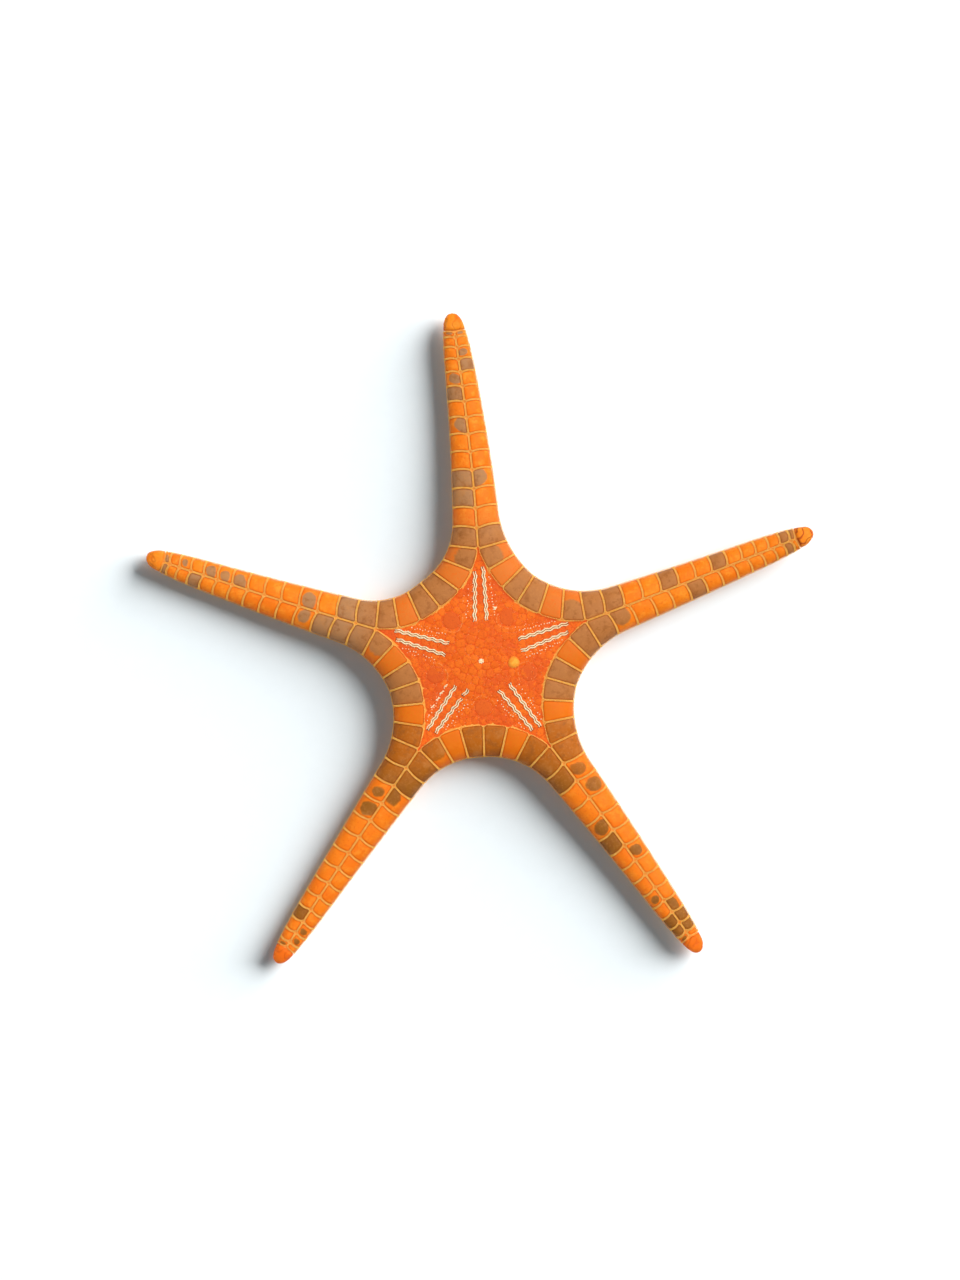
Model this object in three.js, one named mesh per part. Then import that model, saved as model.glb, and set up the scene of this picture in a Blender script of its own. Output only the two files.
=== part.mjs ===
// A dried five-armed starfish with a small flat disc and long tapering arms.
// It is framed by large edge plates: a row of upper plates and a row of lower plates, which
// meet halfway up the side. On the disc the upper plates surround a slightly sunken field, and
// on each arm the two upper rows meet along the middle. A rounded plate closes each tip.
// The underside is flat, with a furrow along each arm that runs to the mouth in the centre.
//
// Millimetres, +Z up. It lies mouth side down on z = 0, with the origin under the middle of
// the box round its outline.

import * as THREE from "three";
import { ParametricGeometry } from "three/addons/geometries/ParametricGeometry.js";
import { mergeGeometries, mergeVertices } from "three/addons/utils/BufferGeometryUtils.js";

// ---- Driving dimensions ----

// The arms, anticlockwise. The heading of the tip in degrees, its reach from the centre of the
// disc, how far the arm's middle bows to its left, and how far its tip turns up.
const ARMS = [
  { heading: 21.0, reach: 79.7, bow: -0.5, tipRise: 3.0 },
  { heading: 95.0, reach: 78.1, bow: -1.5, tipRise: 1.2 },
  { heading: 163.0, reach: 79.0, bow: 0.7, tipRise: 1.0 },
  { heading: 235.9, reach: 82.6, bow: -0.4, tipRise: 1.0 },
  { heading: 306.7, reach: 82.2, bow: 0.7, tipRise: 1.2 },
];

const NOTCH_REACH = 22.0; // centre to the outline, midway between two arms
const FIELD_REACH = 14.8; // centre to the edge of the sunken field, midway between two arms
const JUNCTION = 24.7; // centre to the point where an arm's two upper rows meet
const ARM_HALF_WIDTH = 6.9; // of the arm's straight sides, carried back to the centre
const ARM_TAPER = 0.055; // half width lost for each millimetre along the arm

const DISC_PLATES = 3; // upper plates from midway between two arms to the junction
const ARM_PLATES = 14; // upper plates from the junction to the tip plate
const PLATE_SHRINK = 1.33; // above 1, plates get shorter towards the tip
const TIP_PLATE = 4.3; // length of the rounded tip plate
const TIP_BLUNTNESS = 0.9; // below 1 gives a blunter tip than an ellipse
const JUNCTION_LEAN = 1.3; // how far the first seam's outer end leans towards the tip
const ARM_LEAN = 0.3; // the same for the last seams
const LEAN_FADE = 1.5; // plates over which the lean fades

const DISC_HEIGHT = 7.4; // the top of the edge plates round the disc
const TIP_HEIGHT = 4.0; // the top of the last plates
const SIDE_SEAM = 0.45; // the side seam's share of the height
const SHOULDER = 2.6; // roundness of the upper edge: 2 is an ellipse, more is squarer
const LOWER_ROUNDING = 2.2; // how far in from the side the flat underside starts
const LOWER_ROUNDING_SHARE = 0.35; // its largest share of the half width
const SEAM_DEPTH = 0.3; // dip of the seams between plates
const FIELD_DROP = 0.4; // the field lies this far below the plates
const FIELD_DOME = 0.9; // rise of the middle of the field
const DOME_SPREAD = 11;

const FURROW_HALF_WIDTH = 0.9;
const FURROW_DEPTH = 1.6;
const FURROW_FLOOR = 0.55; // the flat bottom's share of its width
const MOUTH_REACH = 2.8;
const MOUTH_DEPTH = 2.4;
const TIP_RISE_START = 0.55; // share of the arm's reach that lies flat

const STEPS_PER_PLATE = 2; // one at each seam and one at each plate's middle
const TIP_STEPS = 3;
const FIELD_ROWS = 3;
const COLOUR = 0xf08030;

// ---- Stations along half an arm ----
// Half an arm is drawn with its arm along +X and the next arm on its +Y side. A station counts
// plates: 0 is midway between the arms, DISC_PLATES is the junction, PLATES is the start of the
// tip plate, and PLATES + 1 is the tip. "half" is half the angle between the two arms.

const PLATES = DISC_PLATES + ARM_PLATES;
const { lerp, clamp, degToRad } = THREE.MathUtils;
const point = (x, y) => new THREE.Vector2(x, y);
const toward = (angle, distance) => point(Math.cos(angle), Math.sin(angle)).multiplyScalar(distance);

// The round notch between two arms, which runs on into the arm's straight side.
function notchCircle(half) {
  const slant = Math.hypot(1, ARM_TAPER);
  const away = (slant * NOTCH_REACH - ARM_HALF_WIDTH) /
    (slant - Math.sin(half) - ARM_TAPER * Math.cos(half));
  return { centre: toward(half, away), radius: away - NOTCH_REACH };
}

// The edge of the field, a circle through its nearest point and the junction.
function fieldCircle(half) {
  const away = (JUNCTION ** 2 - FIELD_REACH ** 2) / 2 /
    (JUNCTION * Math.cos(half) - FIELD_REACH);
  return { centre: toward(half, away), radius: away - FIELD_REACH };
}

// The point at a share of the way along a circle, from its near side to where x is xEnd.
function alongCircle({ centre, radius }, half, xEnd, share) {
  const turn = Math.PI - half - Math.acos((xEnd - centre.x) / radius);
  return toward(half + Math.PI + turn * share, radius).add(centre);
}

function halfWidthAt(half, x) {
  const { centre, radius } = notchCircle(half);
  const touching = centre.x - radius * ARM_TAPER / Math.hypot(1, ARM_TAPER);
  if (x > touching) return ARM_HALF_WIDTH - ARM_TAPER * x;
  return centre.y - Math.sqrt(radius ** 2 - (x - centre.x) ** 2);
}

// The inner and outer end of the plates' seam at a station, in plan, and how much of the
// section is left, which falls from 1 to 0 along the tip plate.
function seamAt(arm, half, station) {
  const tipStart = arm.reach - TIP_PLATE;
  const onArm = Math.max(station - DISC_PLATES, 0);
  const lean = ARM_LEAN + (JUNCTION_LEAN - ARM_LEAN) * Math.exp(-onArm / LEAN_FADE);
  if (station <= DISC_PLATES) {
    const share = station / DISC_PLATES;
    return {
      inner: alongCircle(fieldCircle(half), half, JUNCTION, share),
      outer: alongCircle(notchCircle(half), half, JUNCTION + lean, share),
      left: 1,
    };
  }
  if (station <= PLATES) {
    const x = lerp(tipStart, JUNCTION, (1 - onArm / ARM_PLATES) ** PLATE_SHRINK);
    return { inner: point(x, 0), outer: point(x + lean, halfWidthAt(half, x + lean)), left: 1 };
  }
  const turn = (station - PLATES) * Math.PI / 2;
  const x = tipStart + TIP_PLATE * Math.sin(turn);
  const left = Math.max(Math.cos(turn), 0) ** TIP_BLUNTNESS;
  const width = halfWidthAt(half, tipStart + lean) * left;
  return { inner: point(x, 0), outer: point(x + lean * (1 - Math.sin(turn)), width), left };
}

// ---- Rows round half a section ----
// The rows run from the middle of the top, over the upper plates, the side seam and the lower
// plates, to the middle of the underside.

const UPPER_ROWS = [0.14, 0.5, 0.82, 0.96]; // shares of the half width
const ROWS = UPPER_ROWS.length + 6;

function skinPoint(arm, half, station, row) {
  const { inner, outer, left } = seamAt(arm, half, station);
  const alongArm = clamp((inner.x - JUNCTION) / (arm.reach - TIP_PLATE - JUNCTION), 0, 1);
  const thickness = lerp(DISC_HEIGHT, TIP_HEIGHT, alongArm);
  const middle = thickness * SIDE_SEAM;
  const dip = station > PLATES ? 0 : SEAM_DEPTH * Math.abs(Math.cos(Math.PI * station));
  const width = outer.distanceTo(inner);
  const side = outer.clone().lerp(inner, dip / Math.max(width, dip + 1));
  const at = (plan, z) => new THREE.Vector3(plan.x, plan.y, z);

  if (row === 0) return at(inner, middle + (thickness - FIELD_DROP - middle) * left);
  if (row <= UPPER_ROWS.length) {
    const share = UPPER_ROWS[row - 1];
    const rise = (1 - share ** SHOULDER) ** (1 / SHOULDER);
    return at(inner.clone().lerp(side, share), middle + (thickness - dip - middle) * rise * left);
  }

  // The furrow's edge, its floor's edge and its middle, which widen into the mouth.
  const share = Math.min(station / DISC_PLATES, 1);
  const narrow = Math.min(FURROW_HALF_WIDTH, width * LOWER_ROUNDING_SHARE);
  const x = Math.max(inner.x, JUNCTION);
  const edge = toward(half, MOUTH_REACH).lerp(point(x, narrow), share);
  const floor = toward(half, MOUTH_REACH * FURROW_FLOOR)
    .lerp(point(x, narrow * FURROW_FLOOR), share);
  const under = middle * (1 - left);
  const depth = lerp(MOUTH_DEPTH, FURROW_DEPTH, share) * left;

  const rounding = Math.min(LOWER_ROUNDING, width * LOWER_ROUNDING_SHARE);
  const foot = side.clone().lerp(edge, rounding / Math.max(side.distanceTo(edge), rounding + 1));
  const lower = side.clone().lerp(foot, 1 - Math.SQRT1_2);
  return [
    at(side, middle),
    at(lower, lerp(middle, under, Math.SQRT1_2)),
    at(foot, under),
    at(edge, under),
    at(floor, under + depth),
    at(point(x * share, 0), under + depth),
  ][row - UPPER_ROWS.length - 1];
}

// The field's skin, from the arm's middle line (row 0) to the plates.
function fieldPoint(arm, half, station, row) {
  const border = skinPoint(arm, half, station, 0);
  if (row === FIELD_ROWS) return border;
  const plan = point(JUNCTION * station / DISC_PLATES, 0).lerp(border, row / FIELD_ROWS);
  const dome = FIELD_DOME * Math.exp(-(plan.lengthSq()) / DOME_SPREAD ** 2);
  return new THREE.Vector3(plan.x, plan.y, DISC_HEIGHT - FIELD_DROP + dome);
}

// ---- The whole animal ----

// Bows half an arm, turns up its tip and turns it to its heading. The line midway between two
// arms stays straight, so neighbours meet on it.
function place(arm, half, side, spot) {
  const spread = spot.x > 0 ? spot.y / (spot.x * Math.tan(half)) : 1;
  const bow = arm.bow * Math.sin(Math.PI * spot.x / arm.reach) * Math.max(1 - spread ** 2, 0);
  const pastFlat = Math.max(spot.x / arm.reach - TIP_RISE_START, 0) / (1 - TIP_RISE_START);
  return new THREE.Vector3(spot.x, side * spot.y + bow, spot.z + arm.tipRise * pastFlat ** 2)
    .applyAxisAngle(new THREE.Vector3(0, 0, 1), degToRad(arm.heading));
}

// One patch of skin over half an arm: its columns are stations and its rows run outwards.
function patch(arm, half, side, skin, stations, rows) {
  const columns = stations.length - 1;
  return new ParametricGeometry((u, v, target) => {
    const column = Math.round((side > 0 ? u : 1 - u) * columns);
    target.copy(place(arm, half, side, skin(arm, half, stations[column], Math.round(v * rows))));
  }, columns, rows);
}

// Joins the patches into one closed body, without the slivers where rows come to a point.
function closedBody(patches) {
  const joined = mergeGeometries(patches);
  joined.deleteAttribute("normal");
  joined.deleteAttribute("uv");
  const body = mergeVertices(joined, 1e-3);
  const corners = body.getIndex().array;
  const kept = [];
  for (let i = 0; i < corners.length; i += 3) {
    const [a, b, c] = corners.slice(i, i + 3);
    if (a !== b && b !== c && c !== a) kept.push(a, b, c);
  }
  body.setIndex(kept);
  return body;
}

const steps = (from, to, count) => Array.from({ length: count + 1 }, (_, i) => lerp(from, to, i / count));
const discStations = steps(0, DISC_PLATES, DISC_PLATES * STEPS_PER_PLATE);
const armStations = [
  ...steps(0, PLATES, PLATES * STEPS_PER_PLATE),
  ...steps(PLATES, PLATES + 1, TIP_STEPS).slice(1),
];

const patches = ARMS.flatMap((arm, i) => [1, -1].flatMap((side) => {
  const next = ARMS[(i + side + ARMS.length) % ARMS.length];
  const half = degToRad(THREE.MathUtils.euclideanModulo(side * (next.heading - arm.heading), 360) / 2);
  return [
    patch(arm, half, side, skinPoint, armStations, ROWS),
    patch(arm, half, side, fieldPoint, discStations, FIELD_ROWS),
  ];
}));

const body = closedBody(patches);
body.computeBoundingBox();
const middle = body.boundingBox.getCenter(new THREE.Vector3());
body.translate(-middle.x, -middle.y, 0);

const starfish = new THREE.Mesh(
  body,
  new THREE.MeshStandardMaterial({ color: COLOUR, roughness: 0.6, metalness: 0 }),
);
starfish.name = "starfish";

const group = new THREE.Group();
group.add(starfish);

export default group;
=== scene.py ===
# %% [markdown]
# # A dried starfish
# This notebook dresses the solid of a dried sea star. The animal is one grown body, but its look
# comes from hundreds of small parts that are set in its skin: smooth plates round the edge, tiny
# beads in the seams between them, a field of small plates on the disc, and spines underneath.
# Each kind of part is modelled once, small and flat, and is then laid on the curved body.

import math
from collections import namedtuple

import bpy
import numpy as np
from mathutils import Matrix, Vector


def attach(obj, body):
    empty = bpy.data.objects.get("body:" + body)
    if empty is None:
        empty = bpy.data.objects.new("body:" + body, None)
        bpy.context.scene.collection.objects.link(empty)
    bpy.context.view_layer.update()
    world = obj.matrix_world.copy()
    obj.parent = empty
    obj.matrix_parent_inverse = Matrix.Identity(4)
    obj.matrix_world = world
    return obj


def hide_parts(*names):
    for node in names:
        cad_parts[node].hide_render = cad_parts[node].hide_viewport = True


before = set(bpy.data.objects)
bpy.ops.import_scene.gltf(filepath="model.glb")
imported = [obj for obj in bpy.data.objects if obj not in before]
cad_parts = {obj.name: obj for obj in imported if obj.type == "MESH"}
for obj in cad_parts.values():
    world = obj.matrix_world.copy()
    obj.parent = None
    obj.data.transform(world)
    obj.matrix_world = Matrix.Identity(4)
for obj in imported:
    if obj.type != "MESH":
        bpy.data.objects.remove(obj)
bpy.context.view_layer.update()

# %% [markdown]
# ## The camera and the light
# The animal lies flat and is seen from straight above, so a long lens high over the middle keeps
# its arms free of perspective. The floor needs a strong low lamp for its long soft shadow, which
# would burn out the animal's near sides. So the lamps are shared out, at the end of the notebook:
# the low one and a faint fill light the floor alone, and the animal has a gentler key, a top
# light, a fill and a lamp below for views of its underside. A pale world fills the rest.

# %% Camera
MM = 0.001
CAMERA_HEIGHT = 1.3
VIEW_HEIGHT = 0.288
VIEW_MIDDLE = (0.11 * MM, -0.34 * MM)
HALF_HEIGHT = 4 * MM

camera_data = bpy.data.cameras.new("camera")
camera_data.lens = camera_data.sensor_width * CAMERA_HEIGHT / VIEW_HEIGHT
camera = bpy.data.objects.new("camera", camera_data)
camera.location = (*VIEW_MIDDLE, CAMERA_HEIGHT + HALF_HEIGHT)
bpy.context.collection.objects.link(camera)
bpy.context.scene.camera = camera
bpy.context.scene.view_settings.view_transform = "Standard"
print("lens", round(camera_data.lens), "mm")


# %% Lamps and world
WHITE = (1.0, 1.0, 1.0)
WORLD_COLOUR = (0.86, 0.97, 1.0, 1.0)
WORLD_STRENGTH = 0.14


def add_sun(name, strength, azimuth, elevation, spread, colour):
    """A distant lamp. Azimuth is where it stands, anticlockwise from +X, and spread is its width."""
    data = bpy.data.lights.new(name, "SUN")
    data.energy = strength
    data.angle = math.radians(spread)
    data.color = colour
    lamp = bpy.data.objects.new(name, data)
    turn, tilt = math.radians(azimuth), math.radians(elevation)
    away = Vector((math.cos(turn), math.sin(turn), 0)) * math.cos(tilt) + Vector((0, 0, math.sin(tilt)))
    lamp.rotation_euler = away.to_track_quat("Z", "Y").to_euler()
    bpy.context.collection.objects.link(lamp)
    return lamp


floor_lamps = [
    add_sun("floor_key", 8.0, azimuth=29, elevation=24, spread=50, colour=WHITE),
    add_sun("floor_fill", 0.18, azimuth=200, elevation=50, spread=90, colour=(0.6, 0.88, 1.0)),
]
animal_lamps = [
    add_sun("animal_key", 2.7, azimuth=40, elevation=48, spread=50, colour=(1.0, 0.99, 0.97)),
    add_sun("animal_overhead", 0.8, azimuth=60, elevation=80, spread=60, colour=WHITE),
    add_sun("animal_fill", 0.5, azimuth=205, elevation=35, spread=60, colour=(1.0, 0.97, 0.96)),
    add_sun("animal_under", 1.2, azimuth=40, elevation=-60, spread=70, colour=WHITE),
]

world = bpy.data.worlds.new("studio")
bpy.context.scene.world = world
world.use_nodes = True
backdrop = world.node_tree.nodes["Background"].inputs
backdrop["Color"].default_value = WORLD_COLOUR
backdrop["Strength"].default_value = WORLD_STRENGTH

# %% [markdown]
# ## Small helpers
# Blender's operators act on whatever is selected, and loading the solid leaves it selected, so
# every piece starts with nothing selected. Parts that repeat are modelled once. Their copies are
# then written straight into one mesh, which is much quicker than thousands of objects.


# %% Selection and modes
def start_clean():
    """Object mode with nothing selected."""
    if bpy.context.object and bpy.context.object.mode != "OBJECT":
        bpy.ops.object.mode_set(mode="OBJECT")
    bpy.ops.object.select_all(action="DESELECT")


def new_shape(add_primitive, **settings):
    """A new primitive, the only thing selected, with its place in its mesh."""
    start_clean()
    add_primitive(**settings)
    bpy.ops.object.transform_apply()
    return bpy.context.object


def edit(piece, part="FACE", select="DESELECT"):
    """Edit mode on one piece with nothing selected, or all of it."""
    start_clean()
    bpy.context.view_layer.objects.active = piece
    piece.select_set(True)
    bpy.ops.object.mode_set(mode="EDIT")
    bpy.ops.mesh.select_mode(type=part)
    bpy.ops.mesh.select_all(action=select)


def pick(piece, part, wanted):
    """Selects, in edit mode, each FACE whose centre and normal are wanted, or each EDGE whose two
    ends are."""
    bpy.ops.mesh.select_mode(type=part)
    bpy.ops.mesh.select_all(action="DESELECT")
    bpy.ops.object.mode_set(mode="OBJECT")
    points = [v.co for v in piece.data.vertices]
    for face in piece.data.polygons if part == "FACE" else ():
        face.select = wanted(face.center, face.normal)
    for edge in piece.data.edges if part == "EDGE" else ():
        edge.select = wanted(*(points[v] for v in edge.vertices))
    bpy.ops.object.mode_set(mode="EDIT")


def faces_up(centre, normal):
    return normal.z > 0.9


def set_points(piece, points):
    piece.data.vertices.foreach_set("co", np.asarray(points, np.float32).ravel())
    piece.data.update()


def smooth(piece):
    for face in piece.data.polygons:
        face.use_smooth = True


# %% Templates and copies
Template = namedtuple("Template", "points corners starts sizes")


def as_template(piece):
    """Reads a small modelled piece as arrays and removes its object."""
    start_clean()
    mesh = piece.data
    points = np.array([v.co for v in mesh.vertices])
    corners = np.array([c.vertex_index for c in mesh.loops])
    starts = np.array([p.loop_start for p in mesh.polygons])
    sizes = np.array([p.loop_total for p in mesh.polygons])
    bpy.data.objects.remove(piece)
    return Template(points, corners, starts, sizes)


def copies(name, template, places, **tags):
    """One mesh that holds a copy of the template for each row of places, an array of copies by
    points by 3. Each tag becomes an attribute: a number or a vector for each copy or each point."""
    count, points = places.shape[:2]
    mesh = bpy.data.meshes.new(name)
    mesh.vertices.add(count * points)
    mesh.vertices.foreach_set("co", places.astype(np.float32).ravel())
    corners = (template.corners[None, :] + points * np.arange(count)[:, None]).ravel()
    mesh.loops.add(len(corners))
    mesh.loops.foreach_set("vertex_index", corners.astype(np.int32))
    starts = (template.starts[None, :] + len(template.corners) * np.arange(count)[:, None]).ravel()
    mesh.polygons.add(len(starts))
    mesh.polygons.foreach_set("loop_start", starts.astype(np.int32))
    mesh.polygons.foreach_set("loop_total", np.tile(template.sizes, count).astype(np.int32))
    mesh.polygons.foreach_set("use_smooth", np.ones(len(starts), bool))
    mesh.update(calc_edges=True)
    for tag, values in tags.items():
        values = np.asarray(values, np.float32)
        vector = values.shape[-1] == 3 and values.ndim > 1
        if values.shape[:2] != (count, points):
            values = np.repeat(values[:, None], points, axis=1)
        kind, field = ("FLOAT_VECTOR", "vector") if vector else ("FLOAT", "value")
        mesh.attributes.new(tag, kind, "POINT").data.foreach_set(field, values.ravel())
    piece = bpy.data.objects.new(name, mesh)
    bpy.context.collection.objects.link(piece)
    print(name, count, "copies,", len(starts), "faces")
    return piece


def point_faces_out(piece):
    """Turns the faces of each closed part of a piece outwards, which mirrored copies need."""
    edit(piece, select="SELECT")
    bpy.ops.mesh.normals_make_consistent(inside=False)
    start_clean()


# %% [markdown]
# ## The shape of the body
# The body's surface is a formula, the same one that shaped the solid. A place on it has an arm, a
# side, a station along the arm that counts edge plates, and a place across. Across runs from 0 at
# the middle of the top, over the upper plates to 1 at the side seam, round the lower plates to 2,
# over the flat underside to 3 at the furrow's edge, and to 4 in the furrow's middle.

# %% Dimensions of the body in millimetres
Arm = namedtuple("Arm", "heading reach bow rise")
ARMS = (
    Arm(21.0, 79.7, -0.5, 3.0),
    Arm(95.0, 78.1, -1.5, 1.2),
    Arm(163.0, 79.0, 0.7, 1.0),
    Arm(235.9, 82.6, -0.4, 1.0),
    Arm(306.7, 82.2, 0.7, 1.2),
)
RIGHT, TOP, LEFT, LOWER_LEFT, LOWER_RIGHT = range(5)
NOTCH_REACH = 22.0
FIELD_REACH = 14.8
JUNCTION = 24.7
ARM_HALF_WIDTH = 6.9
ARM_TAPER = 0.055
DISC_PLATES = 3
ARM_PLATES = 14
PLATES = DISC_PLATES + ARM_PLATES
PLATE_SHRINK = 1.33
TIP_PLATE = 4.3
TIP_BLUNTNESS = 0.9
JUNCTION_LEAN = 1.3
ARM_LEAN = 0.3
LEAN_FADE = 1.5
SEAM_ARCH = 0.3
DISC_HEIGHT = 7.4
TIP_HEIGHT = 4.0
SIDE_SEAM = 0.45
SHOULDER = 2.6
LOWER_ROUNDING = 2.2
ROUNDING_SHARE = 0.35
END_GAP_SHARE = 0.27
FIELD_DROP = 0.4
FIELD_DOME = 0.9
DOME_SPREAD = 11
FURROW_HALF_WIDTH = 0.9
FURROW_DEPTH = 1.6
FURROW_FLOOR = 0.55
FURROW_PLATE = 1.3
MOUTH_REACH = 2.8
MOUTH_DEPTH = 2.4
TIP_RISE_START = 0.55
TIP_TAPER = 0.14
TIP_TAPER_START = 13.0
TINY = 1e-9


def half_gap(arm_index, side):
    """Half the angle between an arm and its neighbour on one side, in radians."""
    other = ARMS[(arm_index + side) % len(ARMS)]
    return math.radians(side * (other.heading - ARMS[arm_index].heading) % 360 / 2)


print("half gaps", [round(math.degrees(half_gap(i, 1)), 1) for i in range(5)])


# %% Plan of half an arm
def towards(angle, distance):
    return np.stack([np.cos(angle) * distance, np.sin(angle) * distance], axis=-1)


def notch_circle(half):
    slant = math.hypot(1, ARM_TAPER)
    away = (slant * NOTCH_REACH - ARM_HALF_WIDTH) / (slant - math.sin(half) - ARM_TAPER * math.cos(half))
    return towards(half, away), away - NOTCH_REACH


def field_circle(half):
    away = (JUNCTION**2 - FIELD_REACH**2) / 2 / (JUNCTION * math.cos(half) - FIELD_REACH)
    return towards(half, away), away - FIELD_REACH


def along_circle(circle, half, x_end, share):
    """The point a share of the way from a circle's near side to where x is x_end."""
    centre, radius = circle
    turn = math.pi - half - np.arccos((x_end - centre[0]) / radius)
    return towards(half + math.pi + turn * share, radius) + centre


def half_width(half, x):
    centre, radius = notch_circle(half)
    touching = centre[0] - radius * ARM_TAPER / math.hypot(1, ARM_TAPER)
    bend = centre[1] - np.sqrt(np.maximum(radius**2 - (x - centre[0]) ** 2, 0))
    return np.where(x > touching, ARM_HALF_WIDTH - ARM_TAPER * x, bend)


def seam_ends(arm, half, station):
    """Inner and outer end of the seam at each station, and how much of the section is left."""
    tip_start = arm.reach - TIP_PLATE
    on_arm = np.clip(station - DISC_PLATES, 0, ARM_PLATES)
    lean = ARM_LEAN + (JUNCTION_LEAN - ARM_LEAN) * np.exp(-on_arm / LEAN_FADE)
    share = np.minimum(station / DISC_PLATES, 1)
    disc_inner = along_circle(field_circle(half), half, JUNCTION, share)
    disc_outer = along_circle(notch_circle(half), half, JUNCTION + lean, share)
    turn = np.clip(station - PLATES, 0, 1) * math.pi / 2
    x = tip_start + (JUNCTION - tip_start) * (1 - on_arm / ARM_PLATES) ** PLATE_SHRINK
    x = x + TIP_PLATE * np.sin(turn)
    x_outer = x + lean * (1 - np.sin(turn))
    left = np.maximum(np.cos(turn), 0) ** TIP_BLUNTNESS
    taper = 1 - TIP_TAPER * np.clip((station - TIP_TAPER_START) / (PLATES - TIP_TAPER_START), 0, 1) ** 2
    width = half_width(half, np.minimum(x_outer, tip_start + ARM_LEAN)) * left * taper
    on_disc = (station <= DISC_PLATES)[..., None]
    inner = np.where(on_disc, disc_inner, np.stack([x, np.zeros_like(x)], axis=-1))
    outer = np.where(on_disc, disc_outer, np.stack([x_outer, width], axis=-1))
    return inner, outer, left


# %% [markdown]
# The section across an arm is squarish on top and rounded below. Parts are fitted to it by
# distance over the surface, so a plate is as long as it should be on the flat top and on the
# steep side alike. The formula therefore measures the curve and steps along it evenly.

# %% Section of half an arm
CURVE_STEPS = 49


def upper_curve(across, width, rise):
    """Share of the width and of the rise at an even share across, from the middle to the side."""
    angle = np.linspace(0, math.pi / 2, CURVE_STEPS)
    share, height = np.sin(angle) ** (2 / SHOULDER), np.cos(angle) ** (2 / SHOULDER)
    steps = np.hypot(np.diff(share) * width[:, None], np.diff(height) * rise[:, None])
    return even_step(across, steps, share), even_step(across, steps, height)


def lower_curve(across, depth, middle, rounding):
    """Distance in from the side, and height, at an even share from the side seam to the end."""
    angle = np.linspace(0, math.pi / 2, CURVE_STEPS - 1)
    inwards = np.concatenate(
        [rounding[:, None] * (1 - np.cos(angle)), np.maximum(depth, rounding)[:, None]], axis=1
    )
    height = np.concatenate([middle[:, None] * (1 - np.sin(angle)), 0 * middle[:, None]], axis=1)
    steps = np.hypot(np.diff(inwards), np.diff(height))
    return even_step(across, steps, inwards), even_step(across, steps, height)


def even_step(across, steps, values):
    """Values at an even share along a line of steps, one line for each row."""
    travelled = np.concatenate([np.zeros((len(steps), 1)), np.cumsum(steps, axis=1)], axis=1)
    wanted = np.clip(across, 0, 1) * travelled[:, -1]
    before = np.clip((travelled <= wanted[:, None]).sum(axis=1) - 1, 0, CURVE_STEPS - 2)
    rows = np.arange(len(across))
    share = (wanted - travelled[rows, before]) / np.maximum(steps[rows, before], TINY)
    values = np.broadcast_to(values, travelled.shape)
    return values[rows, before] + (values[rows, before + 1] - values[rows, before]) * share


def surface(arm, half, station, across):
    """Places on the smooth surface of half an arm that lies along +X, in millimetres."""
    inner, outer, left = seam_ends(arm, half, station)
    span = outer - inner
    width = np.maximum(np.linalg.norm(span, axis=-1), 1e-6)
    thick = np.clip((inner[:, 0] - JUNCTION) / (arm.reach - TIP_PLATE - JUNCTION), 0, 1)
    thick = DISC_HEIGHT + (TIP_HEIGHT - DISC_HEIGHT) * thick
    middle = thick * SIDE_SEAM

    # over the upper plates
    share, height = upper_curve(across, width, (thick - middle) * left)
    top = inner + span * share[:, None]
    top_z = middle + (thick - middle) * height * left

    # round the lower plates, whose inner ends make room for the furrow
    on_arm = np.minimum(station / DISC_PLATES, 1)
    narrow = np.minimum(FURROW_HALF_WIDTH, width * ROUNDING_SHARE)
    plate_end = inner.copy()
    end_gap = np.minimum(FURROW_PLATE, END_GAP_SHARE * width)
    edge_x = np.maximum(inner[:, 0], JUNCTION)
    mouth = towards(half, MOUTH_REACH)
    edge = mouth + (np.stack([edge_x, narrow], axis=-1) - mouth) * on_arm[:, None]
    floor = mouth * FURROW_FLOOR
    floor = floor + (np.stack([edge_x, narrow * FURROW_FLOOR], axis=-1) - floor) * on_arm[:, None]
    plate_end[:, 1] = np.maximum(plate_end[:, 1], narrow + end_gap)
    inwards = plate_end - outer
    depth = np.maximum(np.linalg.norm(inwards, axis=-1), 1e-6)
    rounding = np.minimum(LOWER_ROUNDING, width * ROUNDING_SHARE)
    reach, low_z = lower_curve(across - 1, depth, middle, rounding)
    side = outer + inwards * (np.minimum(reach, depth) / depth)[:, None]
    under = middle * (1 - left)
    side_z = under + (middle - under) * (low_z / middle)

    # along the flat underside, up the furrow's wall and over to its middle
    flat = plate_end + (edge - plate_end) * np.clip(across - 2, 0, 1)[:, None]
    wall = edge + (floor - edge) * np.clip((across - 3) * 2, 0, 1)[:, None]
    middle_line = np.stack([edge_x * on_arm, 0 * edge_x], axis=-1)
    wall = wall + (middle_line - wall) * np.clip(across * 2 - 7, 0, 1)[:, None]
    groove = (MOUTH_DEPTH + (FURROW_DEPTH - MOUTH_DEPTH) * on_arm) * left
    groove_z = under + groove * np.clip((across - 3) * 2, 0, 1)

    plan = np.select(
        [(across <= 1)[:, None], (across <= 2)[:, None], (across <= 3)[:, None]], [top, side, flat], wall
    )
    z = np.select([across <= 1, across <= 2, across <= 3], [top_z, side_z, under], groove_z)
    arch = SEAM_ARCH * np.clip(station - DISC_PLATES, 0, 1) * np.clip(PLATES - station, 0, 1)
    plan[:, 0] += arch * np.sin(math.pi * np.clip(share, 0, 1)) * (across < 1)
    return np.column_stack([plan, z])


# %% [markdown]
# A real arm is not straight: it bows a little, and its dried tip curls up. The last step bends the
# straight half arm, mirrors it for the other side and turns it to its heading. The line midway
# between two arms stays where it is, so that neighbours meet.

# %% Laying things on the body
STEP = 1e-3


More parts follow.
